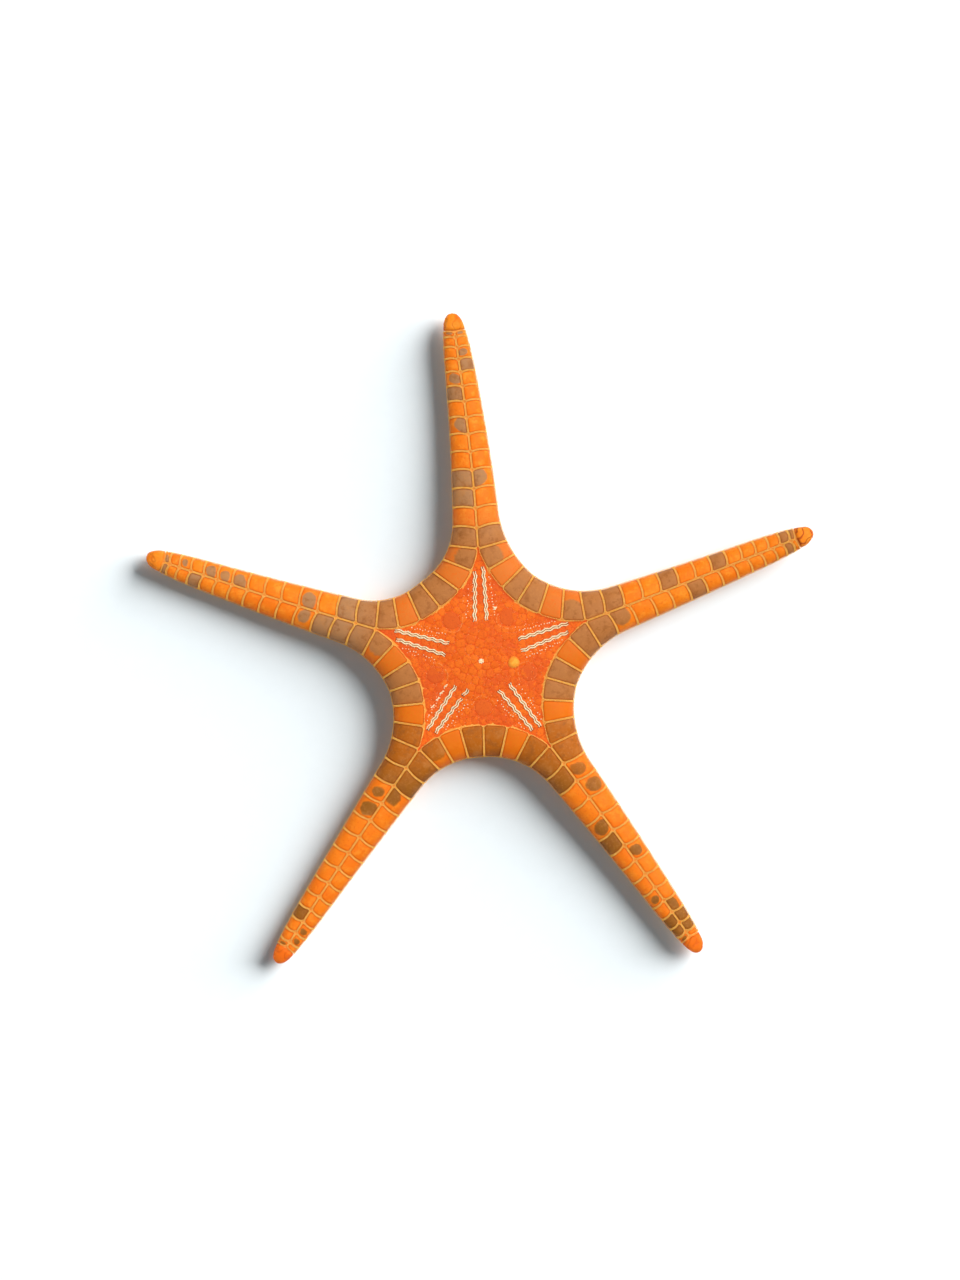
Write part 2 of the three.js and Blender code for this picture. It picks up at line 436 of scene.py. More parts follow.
def place(arm_index, side, points):
    """Bends, mirrors and turns points of half an arm, and moves them to the frame, in metres."""
    arm, half = ARMS[arm_index], half_gap(arm_index, side)
    x, y, z = np.moveaxis(np.asarray(points, float), -1, 0)
    spread = np.where(x > 0, y / np.maximum(x * math.tan(half), TINY), 1)
    bow = arm.bow * np.sin(math.pi * x / arm.reach) * np.maximum(1 - spread**2, 0)
    past_flat = np.maximum(x / arm.reach - TIP_RISE_START, 0) / (1 - TIP_RISE_START)
    y = side * y + bow
    z = z + arm.rise * past_flat**2
    turn = math.radians(arm.heading)
    turned = [x * math.cos(turn) - y * math.sin(turn), x * math.sin(turn) + y * math.cos(turn), z]
    return (np.stack(turned, axis=-1) - CENTRE) * MM


def lay(arm_index, side, station, across, lift):
    """Places over (lift above 0) or under the smooth surface, in metres, in the frame."""
    arm, half = ARMS[arm_index], half_gap(arm_index, side)
    station, across, lift = (np.ravel(a) for a in np.broadcast_arrays(station, across, lift))
    station, across = station.astype(float), across.astype(float)
    base = surface(arm, half, station, across)
    below, above = np.maximum(across - STEP, 0), np.minimum(across + STEP, 2)
    along = surface(arm, half, np.minimum(station + STEP, PLATES + 1), across)
    along = along - surface(arm, half, station - STEP, across)
    sideways = surface(arm, half, station, above) - surface(arm, half, station, below)
    normal = np.cross(along, sideways)
    normal[(across <= 0) & (station >= DISC_PLATES), 1] = 0
    normal[across >= 2] = (0, 0, -1)
    normal[station > PLATES + 0.999] = (1, 0, 0)
    normal /= np.maximum(np.linalg.norm(normal, axis=1), 1e-12)[:, None]
    return place(arm_index, side, base + normal * np.asarray(lift, float)[:, None])


HALF_ARMS = [(i, side) for i in range(len(ARMS)) for side in (1, -1)]
OUTLINE_POINTS = 400
CENTRE = np.zeros(3)
rim_stations = np.linspace(0, PLATES + 1, OUTLINE_POINTS)
outline = np.concatenate([lay(*row, rim_stations, 1.0, 0.0) for row in HALF_ARMS])
CENTRE = np.append((outline[:, :2].min(0) + outline[:, :2].max(0)) / 2 / MM, 0)
print("disc's centre in the frame", -CENTRE)

# %% [markdown]
# ## The skin
# The skin is what shows in the seams, in the furrows and round the mouth. Each half arm starts as
# a flat grid, whose columns become stations and whose rows go round the section. The grids are
# laid a little under the smooth surface, to leave room for the plates, and their meeting edges are
# merged, which closes the body.

# %% Skin patches
SKIN_LIFT = -0.38
FIELD_LIFT = -0.075
SKIN_STEPS = 3
TIP_STEPS = 8
SKIN_ROWS = (0, 0.04, 0.15, 0.3, 0.45, 0.6, 0.72, 0.82, 0.91, 1, 1.1, 1.2, 1.32, 1.45, 1.6, 1.8, 2,
             2.33, 2.67, 3, 3.25, 3.5, 3.75, 4)
FIELD_STEPS = 8
SKIN_MERGE = 0.02 * MM


def field_height(plan):
    """Height of the disc's field over its plan, measured from the disc's centre."""
    return DISC_HEIGHT - FIELD_DROP + FIELD_DOME * np.exp(-(plan**2).sum(axis=-1) / DOME_SPREAD**2)


def flat_grid(name, columns, rows):
    """A flat grid of columns by rows faces, and for each vertex its column and its row."""
    start_clean()
    bpy.ops.mesh.primitive_grid_add(x_subdivisions=columns, y_subdivisions=rows, size=1)
    grid = bpy.context.object
    grid.name = name
    flat = np.array([v.co[:2] for v in grid.data.vertices]) + 0.5
    return grid, np.rint(flat * (columns, rows)).astype(int)


def tag_points(piece, tag, value):
    """Gives every point of a piece the same number, for its finish to read."""
    values = np.full(len(piece.data.vertices), value, np.float32)
    piece.data.attributes.new(tag, "FLOAT", "POINT").data.foreach_set("value", values)


def join(pieces, name, merge):
    """Joins pieces into one smooth piece and merges what lies within a distance."""
    start_clean()
    for piece in pieces:
        piece.select_set(True)
    bpy.context.view_layer.objects.active = pieces[0]
    bpy.ops.object.join()
    whole = bpy.context.object
    whole.name = whole.data.name = name
    edit(whole, "VERT", "SELECT")
    bpy.ops.mesh.remove_doubles(threshold=merge)
    bpy.ops.mesh.dissolve_degenerate(threshold=merge)
    bpy.ops.mesh.select_all(action="SELECT")
    bpy.ops.mesh.normals_make_consistent(inside=False)
    bpy.ops.object.mode_set(mode="OBJECT")
    smooth(whole)
    return whole


stations = np.concatenate([
    np.linspace(0, PLATES, PLATES * SKIN_STEPS + 1),
    np.linspace(PLATES, PLATES + 1, TIP_STEPS + 1)[1:],
])
patches = []
for row in HALF_ARMS:
    grid, spots = flat_grid("patch", len(stations) - 1, len(SKIN_ROWS) - 1)
    set_points(grid, lay(*row, stations[spots[:, 0]], np.take(SKIN_ROWS, spots[:, 1]), SKIN_LIFT))
    tag_points(grid, "field", 0.0)
    patches.append(grid)

    grid, spots = flat_grid("field", DISC_PLATES * SKIN_STEPS, FIELD_STEPS)
    border = lay(*row, spots[:, 0] / SKIN_STEPS, 0.0, SKIN_LIFT)
    centre_line = np.zeros((len(spots), 3))
    centre_line[:, 0] = JUNCTION * spots[:, 0] / SKIN_STEPS / DISC_PLATES
    share = spots[:, 1:] / FIELD_STEPS
    plan = place(*row, centre_line) * (1 - share) + border * share
    plan[:, 2] = (field_height(plan[:, :2] / MM + CENTRE[:2]) + FIELD_LIFT) * MM
    set_points(grid, np.where(share == 1, border, plan))
    tag_points(grid, "field", 1.0)
    patches.append(grid)

skin = join(patches, "starfish_skin", merge=SKIN_MERGE)
print("skin", len(skin.data.vertices), "points")

# %% [markdown]
# ## The edge plates
# Large smooth plates frame the animal. Each is a rounded tile whose foot is sunk in the skin. One
# tile is modelled flat: a block cut into a few columns and rows so that it can bend, with rounded
# upright corners. Its top is drawn in ring by ring and raised a little each time, which gives it a
# soft shoulder, and the middle is lifted for a gentle crown.

# %% Edge plate template
TILE_LENGTH = 4.0
TILE_WIDTH = 6.0
TILE_FOOT = -0.62
TILE_CORNER = 0.36
TILE_CUTS = (2, 7)
TILE_SHOULDER = ((0.08, 0.11), (0.12, 0.08), (0.16, 0.05))  # inset and rise of each ring
TILE_CROWN = ((0.8, 0.03), (0.55, 0.03))  # share of the half width and rise of each step


def model_tile():
    """A rounded tile in millimetres, with its length along X, its width along Y and its top at 0."""
    start_clean()
    rise = sum(height for size, height in TILE_SHOULDER + TILE_CROWN)
    bpy.ops.mesh.primitive_cube_add(size=1)
    tile = bpy.context.object
    tile.scale = (TILE_LENGTH, TILE_WIDTH, -TILE_FOOT - rise)
    tile.location.z = (TILE_FOOT - rise) / 2
    bpy.ops.object.transform_apply(location=True, scale=True)
    edit(tile)
    pick(tile, "EDGE", lambda a, b: abs(a.x - b.x) > 1)
    bpy.ops.mesh.subdivide(number_cuts=TILE_CUTS[0])
    pick(tile, "EDGE", lambda a, b: abs(a.y - b.y) > 1)
    bpy.ops.mesh.subdivide(number_cuts=TILE_CUTS[1])
    corner = 0.249 * TILE_LENGTH * TILE_WIDTH  # just less than half the length times half the width
    pick(tile, "EDGE", lambda a, b: abs(a.z - b.z) > 0.1 and abs(a.x * a.y) > corner)
    bpy.ops.mesh.bevel(offset=TILE_CORNER, segments=2, affect="EDGES")
    pick(tile, "FACE", faces_up)
    for inset, height in TILE_SHOULDER:
        bpy.ops.mesh.inset(thickness=inset, depth=height)
    for share, height in TILE_CROWN:
        reach = share * TILE_WIDTH / 2
        pick(tile, "FACE", lambda spot, normal: normal.z > 0.7 and abs(spot.x) < 1 and abs(spot.y) < reach)
        bpy.ops.transform.translate(value=(0, 0, height))
    start_clean()
    print("tile", len(tile.data.vertices), "points, top at", max(v.co.z for v in tile.data.vertices))
    return as_template(tile)


tile_template = model_tile()

# %% [markdown]
# Plates differ in size, but their rims don't: a short plate by the tip has as round a shoulder as
# a long one. So the tile's rim keeps its width when the tile is fitted to a cell, and only its
# middle is stretched. A cell's own lengths are measured over the body first.

# %% Fitting a flat part to a cell
PLATE_GAP = 0.22
RIM = 0.9
RIM_SHARE = 0.55
LEAST_HALF = 0.05
CELL_STEPS = 8
UPPER, LOWER = 0, 1
STAGGER = {(RIGHT, -1): 0.32}
STAGGER_FADE = 3


def shifted(arm_index, side, station):
    """The stations of an arm whose two rows of plates don't stand opposite each other."""
    most = STAGGER.get((arm_index, side), 0)
    grow = np.clip((station - DISC_PLATES) / STAGGER_FADE, 0, 1)
    fade = np.clip((PLATES - station) / STAGGER_FADE, 0, 1)
    return station + most * grow * fade


def cell_lengths(arm_index, side, plate, layer):
    """Lengths of a cell in millimetres: along the arm at even steps across it, and across it."""
    ticks = np.linspace(0, 1, CELL_STEPS + 1)
    along, across = np.meshgrid(plate + ticks, layer + ticks, indexing="ij")
    spots = lay(arm_index, side, shifted(arm_index, side, along), across, 0.0) / MM
    spots = spots.reshape(CELL_STEPS + 1, CELL_STEPS + 1, 3)
    lengths = np.linalg.norm(np.diff(spots, axis=0), axis=-1).sum(axis=0)
    widths = np.linalg.norm(np.diff(spots, axis=1), axis=-1).sum(axis=1)
    return lengths, widths.mean()


def fit(flat, nominal, real):
    """Stretches a coordinate from a nominal half size to a real one, but keeps the rim's width."""
    real = np.maximum(real, LEAST_HALF)
    rim = np.minimum(RIM, RIM_SHARE * real)
    from_edge = nominal - np.abs(flat)
    inner = rim + (from_edge - RIM) * (real - rim) / (nominal - RIM)
    return np.sign(flat) * (real - np.where(from_edge < RIM, from_edge * rim / RIM, inner))


def on_cell(arm_index, side, plate, layer, x, y, lift, gap=0.0, nominal=None):
    """Lays flat millimetre coordinates, centred on a cell, over the body, and gives them as places
    and as shares of the cell from -1 to 1. With a nominal size the part is stretched to fit."""
    lengths, width = cell_lengths(arm_index, side, plate, layer)
    if nominal:
        y = fit(y, nominal[1] / 2, width / 2 - gap)
    across = np.clip(y / width + 0.5, 0, 1)
    length = np.interp(across, np.linspace(0, 1, CELL_STEPS + 1), lengths)
    if nominal:
        x = fit(x, nominal[0] / 2, length / 2 - gap)
    along = x / length + 0.5
    station = shifted(arm_index, side, plate + along)
    return lay(arm_index, side, station, layer + across, lift), along * 2 - 1, across * 2 - 1


# %% [markdown]
# Some plates are brown all over, and some have only a brown spot. The marks are listed for
# each row of the animal, by the number of the plate. A spot has its centre and its radius on a
# plate that goes from -1 to 1 both ways, and the finish draws it from those three numbers.

# %% Marks on the upper plates
PLAIN = (0, 0, -9)
FULL = (0, 0, 9)
INNER_HALF = (0, -1.6, 2.1)
SPOT = (0, -0.45, 0.62)
SMALL_SPOT = (0.1, -0.35, 0.5)
INNER_SPOT = (0.05, -0.75, 0.95)
LARGE_SPOT = (0, -0.42, 0.74)

BROWN = {
    (TOP, 1): (1, 3, 4, 9), (TOP, -1): (1, 11),
    (LEFT, -1): (1, 2), (LEFT, 1): (1, 2, 3, 11, 14),
    (RIGHT, 1): (1, 2, 5, 8, 13, 14), (RIGHT, -1): (1, 6, 13),
    (LOWER_RIGHT, 1): (1, 12, 13), (LOWER_RIGHT, -1): (1, 2, 6, 12, 13),
    (LOWER_LEFT, -1): (1, 2, 11), (LOWER_LEFT, 1): (1, 2),
}
SPOTS = {
    (TOP, 1): {7: INNER_SPOT, 10: LARGE_SPOT, 14: SMALL_SPOT},
    (TOP, -1): {4: INNER_SPOT, 12: SPOT, 14: SMALL_SPOT},
    (LEFT, -1): {4: LARGE_SPOT, 8: (0.1, -0.6, 0.85), 9: SPOT, 10: LARGE_SPOT, 12: SMALL_SPOT, 14: SPOT},
    (LEFT, 1): {4: SPOT},
    (RIGHT, -1): {2: (-0.15, -0.6, 0.85)},
    (LOWER_RIGHT, 1): {2: SPOT, 3: (0.05, -0.15, 0.72), 7: SPOT, 11: INNER_HALF},
    (LOWER_RIGHT, -1): {5: LARGE_SPOT, 10: SMALL_SPOT, 14: SMALL_SPOT},
    (LOWER_LEFT, -1): {3: SMALL_SPOT, 4: LARGE_SPOT, 14: SMALL_SPOT},
    (LOWER_LEFT, 1): {3: (-0.25, -0.75, 0.8), 12: SMALL_SPOT, 13: SMALL_SPOT},
}
HALF_BROWN = ((TOP, 1), (TOP, -1), (RIGHT, 1), (LEFT, 1), (LOWER_LEFT, 1))


def mark_of(arm_index, side, plate):
    """The mark of an upper plate. Plates count from midway between two arms, from 0."""
    row = (arm_index, side)
    if plate < DISC_PLATES:
        return (FULL, PLAIN, INNER_HALF if row in HALF_BROWN else FULL)[plate]
    number = plate - DISC_PLATES + 1
    return FULL if number in BROWN[row] else SPOTS.get(row, {}).get(number, PLAIN)


# %% Lay the edge plates
chance = np.random.default_rng(7)


def edge_plates(name, layer):
    """All the upper or all the lower edge plates, with the mark, cell place and tone of each."""
    x, y, z = tile_template.points.T
    places, cells, marks, tones = [], [], [], []
    for arm_index, side in HALF_ARMS:
        for plate in range(PLATES):
            spots, along, across = on_cell(
                arm_index, side, plate, layer, x, y, z, PLATE_GAP, (TILE_LENGTH, TILE_WIDTH)
            )
            places.append(spots)
            cells.append(np.column_stack([along, across, z]))
            marks.append(mark_of(arm_index, side, plate) if layer == UPPER else PLAIN)
            tones.append(chance.random())
    piece = copies(name, tile_template, np.array(places), cell=np.array(cells), mark=marks, tone=tones)
    point_faces_out(piece)
    return piece


upper_plates = edge_plates("upper_plates", UPPER)
lower_plates = edge_plates("lower_plates", LOWER)

# %% [markdown]
# ## The tip plates
# One blunt plate caps each arm. A sphere is the natural start: its front half is drawn over the
# arm's end like a thimble, and its back half is pushed in behind, where it closes the shell. The
# plate dried unevenly, so its surface is drawn in here and there by two slow waves.

# %% Tip plate
TIP_SEGMENTS = 30
TIP_RINGS = 22
TIP_MERGE = 0.001 * MM
THIMBLE_START = 0.05
THIMBLE_EASE = 1.5
LUMPS = {RIGHT: 0.07, TOP: 0.06, LEFT: 0.05, LOWER_LEFT: 0.05, LOWER_RIGHT: 0.06}
LUMP_DEPTH = 0.8
THIMBLE_WALL = 0.5
THIMBLE_WRAP = 0.995
ARM_AXIS_DEPTH = 1.6


def model_tip(arm_index):
    """The cap of one arm. Its lumps are drawn by waves that run round it and towards its end."""
    tip = new_shape(bpy.ops.mesh.primitive_uv_sphere_add, segments=TIP_SEGMENTS, ring_count=TIP_RINGS)
    ball = np.array([v.co for v in tip.data.vertices])
    from_pole = np.arccos(np.clip(ball[:, 2], -1, 1)) / math.pi * 2
    round_arm = np.arctan2(ball[:, 1], ball[:, 0]) / math.pi
    station = PLATES + 1 - (1 - THIMBLE_START) * np.minimum(from_pole, 1) ** THIMBLE_EASE
    across = np.clip(np.abs(round_arm), 0, 1) * 2
    behind = np.clip(from_pole - 1, 0, 1)
    lumps = np.sin(3 * math.pi * round_arm + 1.7 * arm_index) * np.sin(9 * from_pole + arm_index)
    lumps = lumps + 0.6 * np.sin(6 * math.pi * round_arm + 5 * from_pole) * np.sin(17 * from_pole)
    fade = np.clip(from_pole * 4, 0, 1) * np.clip(8 - from_pole * 8, 0, 1)  # none at point and rim
    lift = (lumps - LUMP_DEPTH) * LUMPS[arm_index] * fade - THIMBLE_WALL * np.minimum(behind * 8, 1)
    points = np.zeros((len(ball), 3))
    for side in (1, -1):
        mine = (round_arm * side > 0) | (side == 1)
        points[mine] = lay(arm_index, side, station, across * THIMBLE_WRAP, lift)[mine]
    axis = lay(arm_index, 1, station, 0.0, -ARM_AXIS_DEPTH)
    set_points(tip, points + (axis - points) * (behind**2)[:, None])
    return tip


tip_plates = join([model_tip(i) for i in range(len(ARMS))], "tip_plates", merge=TIP_MERGE)
print("tip plates", len(tip_plates.data.polygons), "faces")

# %% [markdown]
# ## The seam beads
# Every edge plate has its own string of tiny beads round its foot, so that two strings lie side by
# side in each seam. A bead is a small sphere of a few faces, because there are thousands. The
# string is a rounded rectangle just inside the cell, and the beads stand on it at even steps. All
# of them in one mesh would be heavy, so they are shared out over three for each layer.

# %% Bead template and strings
BEAD_RADII = (0.14, 0.2)
BEAD_PITCHES = (0.28, 0.42)
STRING_INSET = 0.115
STRING_CORNER = 0.35
BEAD_LIFTS = (0.03, -0.18)
SIDE_BEAD_LIFT = 0.03
BEAD_JITTER = 0.04
BEAD_SIZES = (0.88, 1.08)


def model_bead(segments, rings):
    return as_template(new_shape(bpy.ops.mesh.primitive_uv_sphere_add, segments=segments, ring_count=rings))


def travel(line):
    """How far each point of a line lies along it."""
    return np.append(0, np.cumsum(np.linalg.norm(np.diff(line, axis=0), axis=1)))


def walk(line, travelled, distance):
    """The places some distance along a line."""
    return np.stack([np.interp(distance, travelled, values) for values in line.T], axis=-1)


bead_template = model_bead(6, 3)


def string_round(length, width, pitch):
    """Even steps round a rectangle with cut corners, as x and y from its centre."""
    a, b, c = length / 2, width / 2, min(STRING_CORNER, length / 3)
    corners = np.array([(a - c, -b), (a, c - b), (a, b - c), (a - c, b),
                        (c - a, b), (-a, b - c), (-a, c - b), (c - a, -b), (a - c, -b)])
    travelled = travel(corners)
    count = max(int(travelled[-1] / pitch), 6)
    return walk(corners, travelled, np.arange(count) * travelled[-1] / count).T


def seam_beads(name, layer, arms):
    spots = []
    for arm_index, side in HALF_ARMS:
        if arm_index not in arms:
            continue
        for plate in range(PLATES):
            lengths, width = cell_lengths(arm_index, side, plate, layer)
            length = lengths.mean() - 2 * STRING_INSET
            x, y = string_round(length, width - 2 * STRING_INSET, BEAD_PITCHES[layer])
            along = np.interp(y / width + 0.5, np.linspace(0, 1, CELL_STEPS + 1), lengths)
            x = np.clip(x * (along - 2 * STRING_INSET) / length, -along / 2, along / 2)
            lift = BEAD_LIFTS[layer] + chance.uniform(-BEAD_JITTER, BEAD_JITTER, len(x))
            if layer == UPPER and plate < PLATES - 2:
                lift = lift + SIDE_BEAD_LIFT * (y > width / 2 - 2 * STRING_INSET)
            spots.append(on_cell(arm_index, side, plate, layer, x, y, lift)[0])
    spots = np.concatenate(spots)
    size = BEAD_RADII[layer] * MM * chance.uniform(*BEAD_SIZES, len(spots))
    places = spots[:, None, :] + bead_template.points[None] * size[:, None, None]
    return copies(name, bead_template, places, tone=chance.random(len(spots)))


BEAD_SHARES = {"a": (0, 1), "b": (2, 3), "c": (4,)}
upper_beads = [seam_beads("upper_beads_" + key, UPPER, arms) for key, arms in BEAD_SHARES.items()]
lower_beads = [seam_beads("lower_beads_" + key, LOWER, arms) for key, arms in BEAD_SHARES.items()]

# %% [markdown]
# ## The plates of the disc
# The disc is paved with about three hundred low plates that fit each other like cobbles. Drawing each
# by hand would take days, so they are grown: a plate's middle is a seed, and its rim runs midway to
# the seeds around it. Seeds stand in rows along the arms' middles, five large ones lie between the
# arms, and the rest are strewn by chance and moved apart until they are spread evenly.

# %% The border of the disc's field
STATIONS_TO_JUNCTION = np.linspace(0, DISC_PLATES, 25)


def plan_line(across):
    """The closed line round the disc at one place across, in millimetres from the disc's centre."""
    line = []
    for arm_index in range(len(ARMS)):
        there = lay(arm_index, -1, STATIONS_TO_JUNCTION, across, 0.0)
        back = lay(arm_index, 1, STATIONS_TO_JUNCTION[::-1], across, 0.0)
        line += [there, back[1:-1]]
    return np.concatenate(line)[:, :2] / MM + CENTRE[:2]


def cross_2d(a, b):
    return a[..., 0] * b[..., 1] - a[..., 1] * b[..., 0]


def inside(points, line):
    """Which points lie inside a closed line."""
    start, end = line, np.roll(line, -1, axis=0)
    x, y = points[:, None, 0], points[:, None, 1]
    spans = (start[None, :, 1] > y) != (end[None, :, 1] > y)
    rise = np.where(end[:, 1] == start[:, 1], TINY, end[:, 1] - start[:, 1])
    crossing = start[:, 0] + (y - start[None, :, 1]) * ((end[:, 0] - start[:, 0]) / rise)
    return (spans & (x < crossing)).sum(axis=1) % 2 == 1


def reach_to_line(points, rays, line):
    """Distance from each point to a closed line along each ray."""
    start, step = line[None, None], (np.roll(line, -1, axis=0) - line)[None, None]
    offset = start - points[:, None, None]
    slant = cross_2d(rays[None, :, None], step)
    slant = np.where(np.abs(slant) < TINY, TINY, slant)
    distance = cross_2d(offset, step) / slant
    share = cross_2d(offset, rays[None, :, None]) / slant
    hit = (distance > 0) & (share >= -0.001) & (share <= 1.001)
    return np.where(hit, distance, 1e3).min(axis=2)


field_line = plan_line(0.0)
print("field border", len(field_line), "points")

# %% Spreading seeds and growing cells
SEED_PITCH = 1.72
RELAX_ROUNDS = 14
SAMPLE_STEP = 0.3
CELL_SHARPNESS = 9
LEAST_REACH = 0.05
SEED_ROOM = 0.9
WEIGHT_ROOM = 2.2
BUTTON_SIDES = 16


def spread_seeds(line, fixed, weights, pitch):
    """Adds free seeds between fixed ones and moves them apart. Heavier seeds keep more room."""
    low, high = line.min(0), line.max(0)
    across, up = np.arange(low[0], high[0], SAMPLE_STEP), np.arange(low[1], high[1], SAMPLE_STEP)
    samples = np.stack(np.meshgrid(across, up), axis=-1).reshape(-1, 2)
    samples = samples[inside(samples, line)]
    room = len(samples) * SAMPLE_STEP**2 - len(fixed) * pitch**2 - np.sum(weights) * WEIGHT_ROOM
    count = max(int(room / (SEED_ROOM * pitch**2)), 0)
    free = samples[chance.choice(len(samples), count, replace=False)]
    seeds = np.concatenate([fixed, free])
    weights = np.concatenate([weights, np.zeros(len(free))])
    for _ in range(RELAX_ROUNDS):
        far = ((samples[:, None] - seeds[None]) ** 2).sum(axis=-1) - weights
        owner = far.argmin(axis=1)
        count = np.maximum(np.bincount(owner, minlength=len(seeds)), 1)
        middle = [np.bincount(owner, samples[:, k], len(seeds)) / count for k in (0, 1)]
        moves = (np.arange(len(seeds)) >= len(fixed)) & (np.bincount(owner, minlength=len(seeds)) > 0)
        seeds[moves] = np.stack(middle, axis=1)[moves]
    return seeds, weights


def turns(count):
    """Even angles round a circle."""
    return np.arange(count) * 2 * math.pi / count


RAYS = towards(turns(BUTTON_SIDES), 1)


def grow_cells(seeds, weights, line):
    """How far each seed's cell reaches along a fan of rays, with its corners rounded."""
    apart = seeds[None] - seeds[:, None]
    square = (apart**2).sum(axis=-1)
    np.fill_diagonal(square, 1e9)
    facing = np.einsum("ijk,rk->ijr", apart, RAYS)
    reach = (square + weights[:, None] - weights[None])[..., None] / 2 / np.maximum(facing, 1e-6)
    reach = np.where(facing > 1e-6, np.maximum(reach, LEAST_REACH), 1e6)
    edge = reach_to_line(seeds, RAYS, line)
    total = (reach**-CELL_SHARPNESS).sum(axis=1) + edge**-CELL_SHARPNESS
    return total ** (-1 / CELL_SHARPNESS)


# %% Seeds of the disc
SEED_LIMIT, CELL_LIMIT, ROW_LIMIT = 0.985, 0.99, 0.96  # shares of the field's own border
LARGE_SEED_REACH = 11.0
LARGE_SEED_WEIGHT = 3.6
ROW_PITCH = 1.9
MIDDLE_ROW = (7.6, 22.8)
SIDE_ROW = (8.3, 18.5)
SIDE_ROW_OFFSET = 2.45
SIDE_ROW_SLANT = 0.04
CENTRE_SEED = (-0.1, -0.3)
CENTRE_RING = 6
CENTRE_RING_RADIUS = 1.7
MADREPORITE_PLAN = np.array([7.15, -0.8])
MADREPORITE_RADIUS = 1.35
MADREPORITE_WEIGHT = 0.9


def on_disc(arm_index, side, x, y):
    """Plan of a point of half an arm, in millimetres from the disc's centre."""
    spots = np.stack(np.broadcast_arrays(x, y, 0.0), axis=-1)
    return place(arm_index, side, spots)[..., :2] / MM + CENTRE[:2]


middle_x, side_x = (np.arange(*ends, ROW_PITCH) for ends in (MIDDLE_ROW, SIDE_ROW))
rows = []
for row in HALF_ARMS:
    if row[1] == 1:
        rows.append(on_disc(*row, middle_x, 0.0))
    rows.append(on_disc(*row, side_x, SIDE_ROW_OFFSET - (side_x - SIDE_ROW[0]) * SIDE_ROW_SLANT))
row_seeds = np.concatenate(rows)
row_seeds = row_seeds[inside(row_seeds, field_line * ROW_LIMIT)]
ring_seeds = towards(turns(CENTRE_RING), CENTRE_RING_RADIUS)
large_seeds = np.array([on_disc(i, 1, *towards(half_gap(i, 1), LARGE_SEED_REACH)) for i in range(len(ARMS))])
fixed_seeds = np.concatenate([large_seeds, [MADREPORITE_PLAN], [CENTRE_SEED], ring_seeds, row_seeds])
fixed_weights = np.zeros(len(fixed_seeds))
fixed_weights[:len(ARMS)] = LARGE_SEED_WEIGHT
fixed_weights[len(ARMS)] = MADREPORITE_WEIGHT
seeds, weights = spread_seeds(field_line * SEED_LIMIT, fixed_seeds, fixed_weights, SEED_PITCH)
reaches = grow_cells(seeds, weights, field_line * CELL_LIMIT)
print("disc seeds", len(seeds), "mean reach", round(float(reaches.mean()), 2))

# %% [markdown]
# All of these plates are copies of one button: a sixteen-sided cylinder with its top drawn in and
# raised in three rings. A button is stretched along each of its rays until it fills its cell, so
# that a round shape becomes a cobble of any outline.

# %% Button template and disc plates
BUTTON_RINGS = ((0.07, 0.16), (0.14, 0.1), (0.3, 0.07))
BUTTON_THICKNESS = 0.24
BUTTON_GAP = 0.025
LARGE_BUTTON = 2.4
LEAST_BUTTON = 0.1


def model_button():
    """A round plate of radius 1 and thickness 1, with its top at 0."""
    rise = sum(height for inset, height in BUTTON_RINGS)
    button = new_shape(bpy.ops.mesh.primitive_cylinder_add, vertices=BUTTON_SIDES, depth=1 - rise,
                       location=(0, 0, -(1 + rise) / 2))
    edit(button)
    pick(button, "FACE", faces_up)
    for inset, height in BUTTON_RINGS:
        bpy.ops.mesh.inset(thickness=inset, depth=height)
    bpy.ops.mesh.poke()
    return as_template(button)


button_template = model_button()


def in_frame(plan, height):
    """Places at a height over the plan, in metres in the frame."""
    return (np.concatenate([plan, height[..., None]], axis=-1) - CENTRE) * MM


def fill_cells(name, seeds, reaches, height, thickness, **tags):
    """Lays a button in each cell. The height gives the top's z in millimetres over its plan."""
    x, y, z = button_template.points.T
    turn = np.arctan2(y, x)
    ray = np.rint(turn / 2 / math.pi * BUTTON_SIDES).astype(int) % BUTTON_SIDES
    away = np.hypot(x, y)[None] * np.maximum(reaches[:, ray] - BUTTON_GAP, LEAST_BUTTON)
    plan = towards(turn, away) + seeds[:, None]
    places = in_frame(plan, height(plan) + z * thickness)
    cell = np.broadcast_to(button_template.points, places.shape)
    return copies(name, button_template, places, cell=cell, tone=chance.random(len(seeds)), **tags)


paved = np.arange(len(seeds)) != len(ARMS)
size = np.minimum(reaches.mean(axis=1) / LARGE_BUTTON, 1)
disc_plates = fill_cells("disc_plates", seeds[paved], reaches[paved], field_height, BUTTON_THICKNESS,
                         size=size[paved])

# %% [markdown]
# Tiny granules stand in the joints between the plates. They follow the cells' rims, with gaps left
# by chance, and no two are closer than about a granule's width. Most are red, a few are pale, and
# on the side towards the disc's middle a broken arc of pale ones curves round each large plate.

# %% Disc granules
RIM_LIMIT, ARC_LIMIT = 0.97, 0.95
GRAIN_SIZES = (0.85, 1.15)
LEAST_APART = 0.9  # as a share of the pitch
PALE_TONE = 0.6
ARC_TONES = (0.7, 1)
GRANULE_RADIUS = 0.11
GRANULE_PITCH = 0.34
GRANULE_SHARE = 0.85
PALE_RARITY = 4
LARGE_RING = 3.1
ARC_REACH = 2.6
ARC_HALF_TURN = 1.25
ARC_GRANULES = 34
ARC_SHARE = 0.65
ARC_WOBBLE = 0.15
RINGED_SHARE = 0.3
GRANULE_SINK = 0.06


